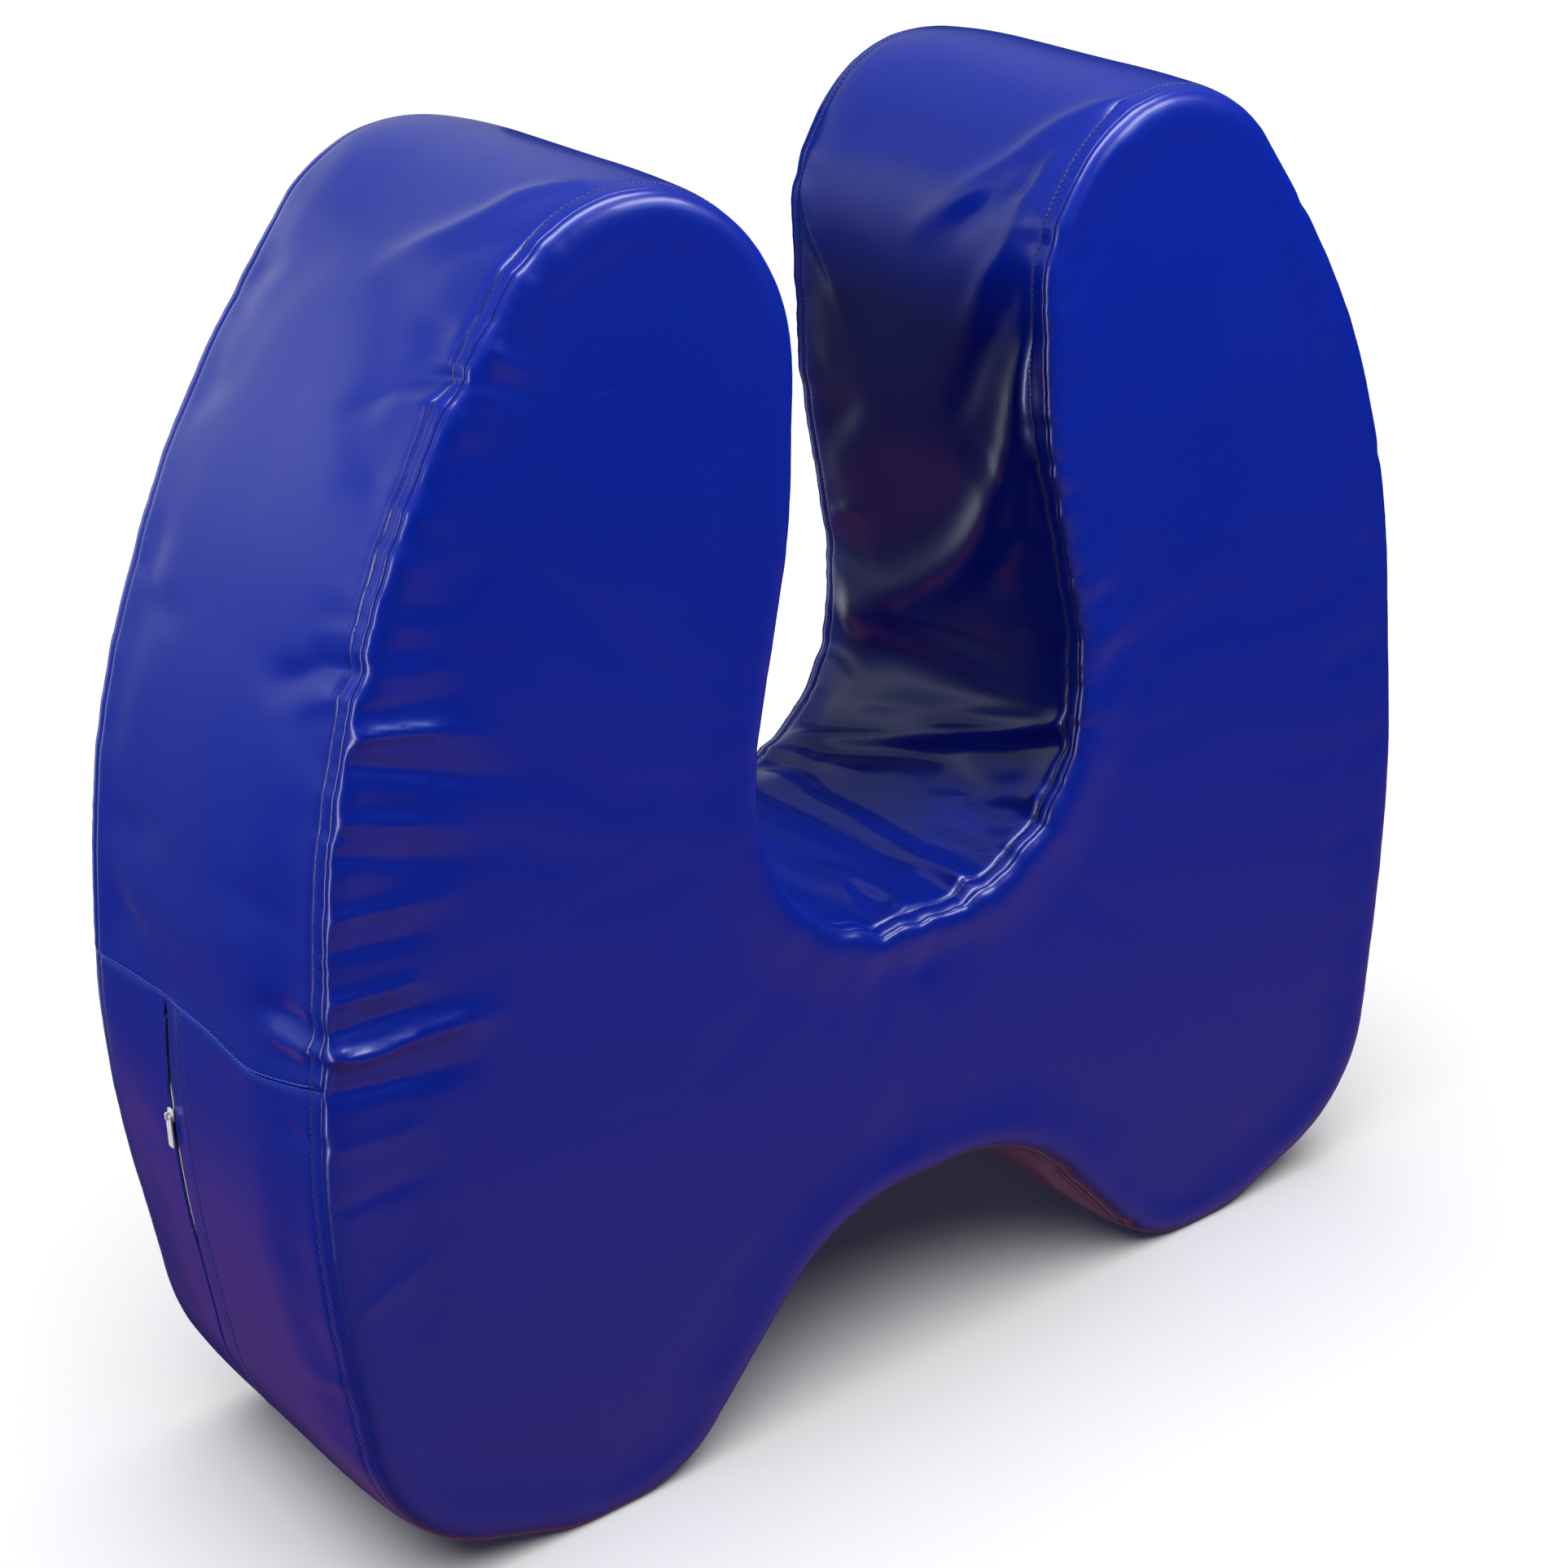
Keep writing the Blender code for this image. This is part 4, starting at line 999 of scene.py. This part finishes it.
def face_panel(name, side, node):
    count = int(round(LOOP / FINE_STEP))
    rings = face_rings(np.arange(count) * LOOP / count, side)
    faces = ring_faces(len(rings), count)
    if side > 0:
        faces = flipped(faces)
    rim = len(rings) * count
    points, faces = capped(np.vstack(rings), faces, range(rim - count, rim), 6.5, side)
    middle = points[rim:]
    x, z = middle[:, 0], middle[:, 2]
    out = FACE_OUT + face_tension(x, z, side) + fold_height(x, z, FACE_FOLDS[side])
    middle[:, 1] = side * (HALF_GUSSET + out)
    build(name, points, faces, COVER, node, thickness=COVER_THICK)


face_panel("front_face_cover", -1, "front_panel")
face_panel("rear_face_cover", 1, "rear_panel")


# ---------------------------------------------------------------- gusset
def band_rows(low, high):
    """y values from one edge to the other; a seam edge gets the fine rows of its profile."""
    rows = set()
    if low <= -HALF_GUSSET:
        rows |= {-HALF_GUSSET + inset for inset in EDGE_INSETS}
        low = -HALF_GUSSET + EDGE_INSETS[-1]
    if high >= HALF_GUSSET:
        rows |= {HALF_GUSSET - inset for inset in EDGE_INSETS}
        high = HALF_GUSSET - EDGE_INSETS[-1]
    count = max(2, int(math.ceil((high - low) / GUSSET_MESH_STEP)) + 1)
    rows |= set(np.linspace(low, high, count).round(4).tolist())
    return np.array(sorted(rows))


def band_stations(start, end):
    """Distances along a band, closer together at both ends."""
    close = np.array((0.0, 0.8, 2.0, 4.0, 6.5))
    count = int(round((end - start - 20) / FINE_STEP))
    return np.concatenate([start + close, np.linspace(start + 10, end - 10, count), end - close[::-1]])


def sunk_edge(points, normal, side):
    """One more column, turned down into the seam behind the edge column."""
    sunk = points - normal * 2.4
    sunk[:, 1] = side * (HALF_GUSSET + 0.35)
    sunk[:, 2] = np.maximum(sunk[:, 2], 0.6)
    return sunk


def build_band(name, stations, node, thickness):
    points = np.stack(stations)
    faces = flipped(lattice(*points.shape[:2]))
    build(name, points, faces, COVER, node, thickness=thickness)


def upper_band():
    along = band_stations(CROSS_LEFT, LOOP + CROSS_RIGHT)
    rows = band_rows(-HALF_GUSSET, HALF_GUSSET)
    points, normal = gusset_point(along[:, None], rows[None, :])
    front = sunk_edge(points[:, 0], normal[:, 0], -1)
    rear = sunk_edge(points[:, -1], normal[:, -1], 1)
    points = np.concatenate([front[:, None], points, rear[:, None]], axis=1)
    # the band's ends are turned down behind the cross seams
    first, last = points[0] - normal[0, 0] * 1.6, points[-1] - normal[-1, 0] * 1.6
    build_band("upper_gusset_cover", [first, *points, last], "upper_gusset_band", COVER_THICK)


upper_band()

LOW_START, LOW_END = CROSS_RIGHT + CROSS_GAP, CROSS_LEFT - CROSS_GAP
# half gap of the zip's slit at side -1 and 1: added above the slider, added below it
SLIT_GAINS = {-1: (1.70, 1.75), 1: (1.90, 1.95)}
ZIP_MARGIN = 10.5
# the folded edge of the slit: distance back from it, depth
ROLL = (
    (5.0, 0.0), (3.4, 0.0), (2.0, 0.02), (1.0, 0.10), (0.35, 0.32), (0.0, 0.75), (0.05, 1.15)
)
SHELF = 6.1  # depth of the rear allowance under the coils
# the ends tucked under the cross seams: distance on, depth
TUCK = ((0.2, 1.0), (1.2, 2.4), (4.2, 2.6))


def above_ground(points):
    """0 near the ground, where the lap stitch's channel fades out."""
    return rise(points[..., 2], 2.0, 8.0)


def lower_sheet(name, side, node):
    along = band_stations(LOW_START, LOW_END)
    if side < 0:
        rows = band_rows(-HALF_GUSSET, ZIP_Y - ZIP_MARGIN)
        channel = LAP_Y + np.array([-2.6, -1.2, -0.5, 0.0, 0.5, 1.2, 2.6])
        rows = np.union1d(rows[abs(rows - LAP_Y) > 3.0], channel)
    else:
        rows = band_rows(ZIP_Y + ZIP_MARGIN, HALF_GUSSET)
    points, normals = gusset_point(along[:, None], rows[None, :])
    if side < 0:  # the lap's stitch row sits in a shallow channel
        groove = 0.12 * bell(np.abs(rows - LAP_Y), 3.2, 1.8) - 0.55 * bell(rows, LAP_Y, 0.9)
        points += normals * (groove * above_ground(points))[..., None]
    columns = list(np.moveaxis(points, 1, 0))
    normal = normals[:, 0]

    def under(y, depth):
        """A column at y, sunk by depth."""
        surface = gusset_point(along, y)[0]
        sunk = surface - normal * depth
        lowest = 0.35 + 0.5 * depth * (surface[:, 2] < 2.0)
        sunk[:, 2] = np.maximum(sunk[:, 2], lowest)
        return sunk

    upper_gain, lower_gain = SLIT_GAINS[side]
    gap = boosted(along, 0.75, (upper_gain, 3030, 3088, 12), (lower_gain, 2935, 3010, 40))
    edge = ZIP_Y + side * gap
    turned = [(edge + side * back, depth) for back, depth in ROLL]
    turned.append((edge + side * 1.2, 1.35))
    if side < 0:
        turned.append((edge - 8.0, 1.38))
    else:  # passes under the coils, so that no foam shows through the slit
        turned += [(edge + 5.0, 3.2), (edge + 4.0, SHELF - 0.4)]
        turned += [(ZIP_Y + offset, SHELF) for offset in (3.5, -3.0, -9.0)]
    turned = [under(y, depth) for y, depth in turned]
    if side < 0:
        columns = [sunk_edge(columns[0], normals[:, 0], -1), *columns, *turned]
    else:
        columns = [*turned[::-1], *columns, sunk_edge(columns[-1], normals[:, -1], 1)]
    points = np.stack(columns, axis=1)

    def tucked(last, before, down):
        way = unit(last - before)
        return [last + way * onward - down * depth for onward, depth in TUCK]

    start = tucked(points[0], points[1], normal[0])[::-1]
    end = tucked(points[-1], points[-2], normal[-1])
    build_band(name, [*start, *points, *end], node, LOWER_THICK)


lower_sheet("lower_gusset_front_cover", -1, "lower_gusset_front")
lower_sheet("lower_gusset_rear_cover", 1, "lower_gusset_rear")


# ---------------------------------------------------------------- stitches
# rings of one stitch: share of its length, lift off the cover, share of its radius
STITCH_RINGS = np.array((
    (0.0, -0.75, 0.35), (0.12, -0.15, 0.8), (0.32, 0.22, 1.0), (0.5, 0.30, 1.0),
    (0.68, 0.22, 1.0), (0.88, -0.15, 0.8), (1.0, -0.75, 0.35),
))
STITCH_LENGTH = THREAD_PITCH - 0.55
STITCH_RADIUS = 0.50
STITCH_SIDES = 6


def stitches(name, starts, route, thread, node, lift, sunk=0.0):
    """A row of separate stitches; route(run) gives along and y at distances on the row."""
    shares, lifts, radii = STITCH_RINGS.T
    run = starts[:, None] + shares * STITCH_LENGTH
    along, y = np.broadcast_arrays(*route(run))
    surface, surface_normal = gusset_point(along, y)
    surface = surface - surface_normal * (sunk * above_ground(surface))[..., None]
    normal = station(along)[1]
    centre = surface + normal * (lifts + lift)[:, None]
    points = tube_points(centre, normal, radii * STITCH_RADIUS, STITCH_SIDES, height=0.85)
    single = tube_faces(len(shares), STITCH_SIDES)
    size = len(shares) * STITCH_SIDES
    faces = [tuple(i * size + m for m in face) for i in range(len(starts)) for face in single]
    build(name, points, faces, thread, node)


loop_starts = np.arange(0.0, LOOP - THREAD_PITCH * 0.5, LOOP / round(LOOP / THREAD_PITCH))
for place_name, side in (("front", -1), ("rear", 1)):
    stitches(
        f"{place_name}_topstitch_row",
        loop_starts,
        lambda run, side=side: (run, side * (HALF_GUSSET - STITCH_INSET)),
        THREAD_SHADED,
        f"topstitch_{place_name}",
        lift=0.30,
    )

stitches(
    "zip_lap_row",
    np.arange(LOW_START + 1.0, LOW_END - THREAD_PITCH, THREAD_PITCH),
    lambda run: (run, LAP_Y),
    THREAD_SHADED,
    "zip_lap_stitch",
    lift=0.20,
    sunk=0.5,
)

# the cross rows use the lighter copy of the thread, with painted light
cross_reach = HALF_GUSSET - STITCH_INSET - 1.2
for place_name, row_along in (("left", CROSS_LEFT + 1.6), ("right", CROSS_RIGHT - 1.6)):
    stitches(
        f"{place_name}_cross_row",
        np.arange(-cross_reach, cross_reach - THREAD_PITCH, THREAD_PITCH),
        lambda run, row_along=row_along: (row_along, run),
        THREAD_LIT,
        f"cross_seam_stitch_{place_name}",
        lift=0.34,
    )

# ---------------------------------------------------------------- zip
ZIP_START, ZIP_END = CROSS_RIGHT + 16.0, CROSS_LEFT - 16.0
SLIDER_ALONG = CROSS_LEFT - 88.6
SPREAD = 3.0  # how far each side of the zip is pulled apart above the slider


def spread(along):
    return SPREAD * rise(along, SLIDER_ALONG + 6.0, 26.0)


def tape(name, side, node):
    inner = 2.9 if side > 0 else 2.0
    offsets = np.array((inner, inner + 0.4, inner + 3.0, 8.0, 12.0, 14.6, 15.0))
    depth = np.repeat((1.55, 2.05), len(offsets))
    offsets = np.concatenate([offsets, offsets[::-1]])
    along = np.arange(ZIP_START - 8.0, ZIP_END + 8.01, 4.0)[:, None]
    points, _ = smooth_gusset(along, ZIP_Y + side * (offsets + spread(along)), depth)
    faces = tube_faces(len(along), len(offsets))
    if side < 0:
        faces = flipped(faces)
    build(name, points, faces, SHADED_TAPE, node, sharp_angle=40)


def coil(name, side, node):
    """One side of the zip's coil: a flattened spiral of filament along the tape's edge."""
    pitch, steps, sides = 1.5, 8, 4
    margin = 3.3
    middle = 1.72 if side < 0 else 1.90
    count = int((ZIP_END - margin - ZIP_START - margin) / pitch)
    turns = np.arange(count * steps + 1) / steps
    along = ZIP_START + margin + turns * pitch
    angle = 2 * math.pi * turns * side
    y = ZIP_Y + side * (middle + 0.80 * np.cos(angle) + spread(along))
    centre, normal = smooth_gusset(along, y, 2.75 + 0.85 * np.sin(angle))
    points = tube_points(centre, normal, 0.27, sides)
    build(name, points, tube_faces(len(turns), sides), COIL, node)


# section of a stop: share of its width, depth
STOP_SECTION = np.array((
    (0.0, 0.35), (0.12, 0.0), (0.5, -0.12), (0.88, 0.0), (1.0, 0.35),
    (1.0, 1.9), (0.88, 2.2), (0.12, 2.2), (0.0, 1.9),
))
STOP_MIDDLE = 1.05  # depth about which the section shrinks
STOP_LENGTH = 3.0


def stop(name, start, low_y, high_y, node):
    """A small moulded stop with rounded edges."""
    shares = np.array((0.0, 0.15, 0.5, 0.85, 1.0))[:, None]
    scale = np.array((0.82, 1.0, 1.0, 1.0, 0.82))[:, None]
    width, depth = STOP_SECTION.T
    y = low_y + (high_y - low_y) * (0.5 + (width - 0.5) * scale)
    depth = 1.65 + STOP_MIDDLE + (depth - STOP_MIDDLE) * scale
    points, _ = smooth_gusset(start + STOP_LENGTH * shares, y, depth)
    faces = tube_faces(len(shares), len(width))
    build(name, points, faces, COIL, node, sharp_angle=45)


tape("zip_tape_front_weave", -1, "zip_tape_front")
tape("zip_tape_rear_weave", 1, "zip_tape_rear")
coil("zip_coil_front_spiral", -1, "zip_coil_front")
coil("zip_coil_rear_spiral", 1, "zip_coil_rear")
near_y, far_y = SPREAD + 0.4, SPREAD + 2.6
top_start = ZIP_END - STOP_LENGTH
stop("top_stop_front_moulded", top_start, ZIP_Y - far_y, ZIP_Y - near_y, "zip_top_stop_front")
stop("top_stop_rear_moulded", top_start, ZIP_Y + near_y, ZIP_Y + far_y, "zip_top_stop_rear")
stop("bottom_stop_moulded", ZIP_START, ZIP_Y - 2.4, ZIP_Y + 2.4, "zip_bottom_stop")

# ---------------------------------------------------------------- foam slabs, under the cover
FOAM_DEPTH = 11.0
FOAM_END = 139.0


def foam_slab(name, low_y, high_y, node):
    levels = np.linspace(low_y + 6, high_y - 6, 6)
    levels = (low_y, low_y + 0.6, low_y + 2.0, *levels, high_y - 2.0, high_y - 0.6, high_y)
    rings = []
    for y in levels:
        corner = 1.6 * bell(min(y - low_y, high_y - y), 0, 0.9) + 5.0 * bell(abs(y), FOAM_END, 5.0)
        ripple = 0.25 * wave(SIM_ALONG, (26.0, 60.0), seed=31) * math.cos(y / 17.0)
        rings.append(smooth_gusset(SIM_ALONG, y, FOAM_DEPTH + corner - ripple)[0])
    points, faces = np.vstack(rings), ring_faces(len(rings), SIM_COUNT)
    rear = len(points) - SIM_COUNT
    points, faces = capped(points, faces, range(SIM_COUNT), 40.0, -1)
    points, faces = capped(points, faces, range(rear, rear + SIM_COUNT), 40.0, 1)
    build(name, lean(points), faces, FOAM, node, sharp_angle=50)


foam_slab("foam_slab_front_cut", -FOAM_END, -60.2, "core_slab_front")
foam_slab("foam_slab_middle_cut", -59.8, 59.8, "core_slab_middle")
foam_slab("foam_slab_rear_cut", 60.2, FOAM_END, "core_slab_rear")

# ------------------------------------------------------- slider and pull tab keep their CAD shape
for node in ("slider_body", "pull_tab"):
    obj = NODES[node]
    if obj.material_slots:
        for slot in obj.material_slots:
            slot.material = ENAMEL
    else:
        obj.data.materials.append(ENAMEL)


# ---------------------------------------------------------------- floor and card, in metres
def stage_sheet(name, corners, look, hidden_from):
    mesh = bpy.data.meshes.new(name)
    mesh.from_pydata(corners, [], [tuple(range(len(corners)))])
    sheet = bpy.data.objects.new(name, mesh)
    bpy.context.scene.collection.objects.link(sheet)
    mesh.materials.append(look)
    for ray in hidden_from:
        setattr(sheet, "visible_" + ray, False)
    return sheet


def floor_material():
    look = material("pale_floor")
    cloudy = look.remap(look.noise(1.3, detail=3.0), 0.3, 0.7)
    return look.finish({
        "Base Color": look.mix(cloudy, (0.90, 0.90, 0.905), (0.93, 0.93, 0.93)),
        "Roughness": 0.9,
        "Specular IOR Level": 0.1,
    })


def card_material():
    return material("card_black", coords=None).finish({
        "Base Color": (0.0, 0.0, 0.0),
        "Specular IOR Level": 0.0,
        "Emission Color": (0.02, 0.03, 0.06),
        "Emission Strength": 1.0,
    })


floor = stage_sheet(
    "studio_floor",
    [(-30, -30, 0), (30, -30, 0), (30, 30, 0), (-30, 30, 0)],
    floor_material(),
    hidden_from=("glossy", "diffuse", "shadow"),
)
# the card stands behind the slot, so that the slot's floor reflects no bright wall
CARD_Y = 0.42
CARD_XZ = ((0.24, 0.40), (0.85, 0.40), (0.85, 1.0), (0.06, 1.0), (0.06, 0.64), (0.24, 0.53))
stage_sheet(
    "dark_card",
    [(x, CARD_Y, z) for x, z in CARD_XZ],
    card_material(),
    hidden_from=("camera", "diffuse", "shadow"),
)

# ---------------------------------------------------------------- world
# colours by height of the ray, from z -1 to 1: a dark room in front, a pale wall behind
ROOM_FRONT = (
    (-1.0, (0.40, 0.24, 0.36)), (-0.60, (0.46, 0.23, 0.32)), (-0.47, (0.28, 0.14, 0.19)),
    (-0.34, (0.02, 0.015, 0.03)), (-0.15, (0.002, 0.003, 0.008)), (0.10, (0.02, 0.02, 0.03)),
    (0.40, (0.20, 0.22, 0.25)), (1.0, (0.45, 0.46, 0.52)),
)
ROOM_BACK = (
    (-1.0, (0.34, 0.16, 0.20)), (-0.82, (0.24, 0.10, 0.13)), (-0.66, (0.022, 0.014, 0.030)),
    (-0.42, (0.06, 0.05, 0.07)), (-0.10, (0.16, 0.18, 0.19)), (0.05, (0.36, 0.39, 0.40)),
    (0.24, (0.80, 0.85, 0.84)), (0.50, (0.36, 0.40, 0.42)), (1.0, (0.32, 0.34, 0.38)),
)
DIFFUSE_FILL = (
    (-1.0, (0.16, 0.10, 0.10)), (-0.1, (0.10, 0.08, 0.09)), (0.3, (0.07, 0.07, 0.08)),
    (1.0, (0.09, 0.09, 0.10)),
)


def build_world():
    """White to the camera, a room to the gloss, and a dim fill to everything else."""
    world = bpy.data.worlds.new("studio")
    bpy.context.scene.world = world
    sky = Nodes(world, "Generated")
    x, y, z = sky.add("SeparateXYZ", {0: sky.coords}).outputs
    upness = sky.remap(z, -1.0, 1.0)

    def ramp(stops):
        node = sky.add("ValToRGB", {"Fac": upness})
        elements = node.color_ramp.elements
        for height, _ in stops[1:-1]:
            elements.new((height + 1) / 2)
        for element, (_, colour) in zip(elements, stops):
            element.color = (*colour, 1)
        return node.outputs["Color"]

    def background(colour):
        return sky.add("Background", {"Color": colour}).outputs[0]

    def choose(ray, no, yes):
        return sky.add("MixShader", {"Fac": rays[ray], 1: no, 2: yes}).outputs[0]

    behind = sky.math("ADD", sky.times(x, -0.63), sky.times(y, 0.77))
    across = sky.math("ADD", sky.times(x, 0.77), sky.times(y, 0.63))
    behind = sky.math("ADD", behind, sky.times(sky.math("MINIMUM", z, 0.0), -1.25))
    facing = sky.remap(behind, 0.10, 0.66)
    # a warm floor patch and a grey wall patch in the back of the room
    warm = sky.times(sky.remap(across, -0.06, 0.24), sky.remap(across, 0.30, 0.50, 1.0, 0.0))
    warm = sky.times(warm, sky.remap(z, -0.54, -0.42, 1.0, 0.0))
    grey = sky.times(sky.remap(across, 0.34, 0.56), sky.remap(z, -0.50, -0.30))
    grey = sky.times(grey, sky.remap(z, 0.10, 0.34, 1.0, 0.0))
    back = sky.mix(warm, ramp(ROOM_BACK), (0.30, 0.10, 0.15))
    back = sky.mix(grey, back, (0.80, 0.82, 0.84))
    rays = sky.add("LightPath").outputs
    plain = background((1.0, 1.0, 1.0))
    direct = choose("Is Camera Ray", background(ramp(DIFFUSE_FILL)), plain)
    room = background(sky.mix(facing, ramp(ROOM_FRONT), back))
    sky.add("OutputWorld", {"Surface": choose("Is Glossy Ray", direct, room)})


build_world()


# ---------------------------------------------------------------- lights, in metres
def add_light(light, place, aim, group_name, floor_link):
    """Aims a light and links it to the floor alone (INCLUDE) or all but the floor (EXCLUDE)."""
    lamp = bpy.data.objects.new(light.name, light)
    lamp.location = place
    lamp.rotation_euler = (Vector(aim) - Vector(place)).to_track_quat("-Z", "Y").to_euler()
    bpy.context.scene.collection.objects.link(lamp)
    group = bpy.data.collections.new(group_name)
    lamp.light_linking.receiver_collection = group
    group.objects.link(floor)
    group.collection_objects[0].light_linking.link_state = floor_link
    return lamp


overhead = bpy.data.lights.new("overhead", "SUN")
overhead.angle = math.radians(78)
overhead.energy = 3.7
add_light(overhead, (-0.25, -0.30, 2.85), (0, 0, 0), "floor_only", "INCLUDE")

# soft panels: name, place, aim, width, height, radiance, colour, rays that do not see it
WHITE = (1, 1, 1)
PANELS = (
    ("front_right", (1.0, -1.95, 2.55), (0, 0, 0.70), 1.2, 1.2, 25.5, WHITE, "glossy"),
    ("left", (-2.5, 0.10, 1.75), (-0.2, 0, 0.70), 0.9, 0.9, 25.0, WHITE, "glossy"),
    ("right_back", (1.5, 1.7, 2.7), (0, 0, 0.80), 1.0, 1.0, 12.0, WHITE, "glossy"),
    ("left_front_strip", (-2.75, -2.05, 0.35), (-0.4, -0.1, 0.45), 0.36, 2.6, 14.0,
     (0.98, 0.96, 1.0), "diffuse"),
    ("high_front", (0.1, -1.45, 3.05), (0, 0, 0.8), 3.0, 0.70, 14.0, (0.95, 0.96, 1.0), "diffuse"),
    ("front_shine", (1.9, -2.7, 1.35), (-0.2, 0, 0.5), 0.9, 0.7, 4.0, (0.30, 0.52, 1.0), "diffuse"),
    ("front_sheen", (1.75, -2.55, 1.80), (-0.2, 0, 0.5), 1.1, 0.6, 13.0, (0.96, 0.95, 1.0),
     "diffuse"),
)
for k, (name, place, aim, width, height, radiance, colour, unseen) in enumerate(PANELS):
    panel = bpy.data.lights.new(name, "AREA")
    panel.shape = "RECTANGLE"
    panel.size, panel.size_y = width, height
    panel.energy = math.pi * width * height * radiance
    panel.color = colour
    lamp = add_light(panel, place, aim, f"block_only_{k}", "EXCLUDE")
    setattr(lamp, "visible_" + unseen, False)


# ---------------------------------------------------------------- camera
def add_camera(place, yaw, pitch, roll, lens):
    """yaw turns from +y towards +x and pitch looks down, in degrees; lens is in mm."""
    data = bpy.data.cameras.new("camera")
    camera = bpy.data.objects.new("camera", data)
    bpy.context.scene.collection.objects.link(camera)
    yaw, pitch, roll = math.radians(yaw), math.radians(pitch), math.radians(roll)
    level = math.cos(pitch)
    forward = Vector((math.sin(yaw) * level, math.cos(yaw) * level, -math.sin(pitch)))
    right = Vector((math.cos(yaw), -math.sin(yaw), 0.0))
    upward = right.cross(forward)
    across = right * math.cos(roll) + upward * math.sin(roll)
    above = -right * math.sin(roll) + upward * math.cos(roll)
    turn = Matrix((across, above, -forward)).transposed().to_4x4()
    camera.matrix_world = Matrix.Translation(Vector(place)) @ turn
    data.sensor_width = 36.0
    data.lens = lens
    data.clip_start, data.clip_end = 0.05, 100.0
    bpy.context.scene.camera = camera


add_camera((-1.1976, -1.5480, 1.2847), yaw=37.424, pitch=23.596, roll=-1.653, lens=65.59757)
bpy.context.scene.view_settings.view_transform = "Standard"
bpy.context.scene.view_settings.look = "None"

bpy.context.view_layer.update()
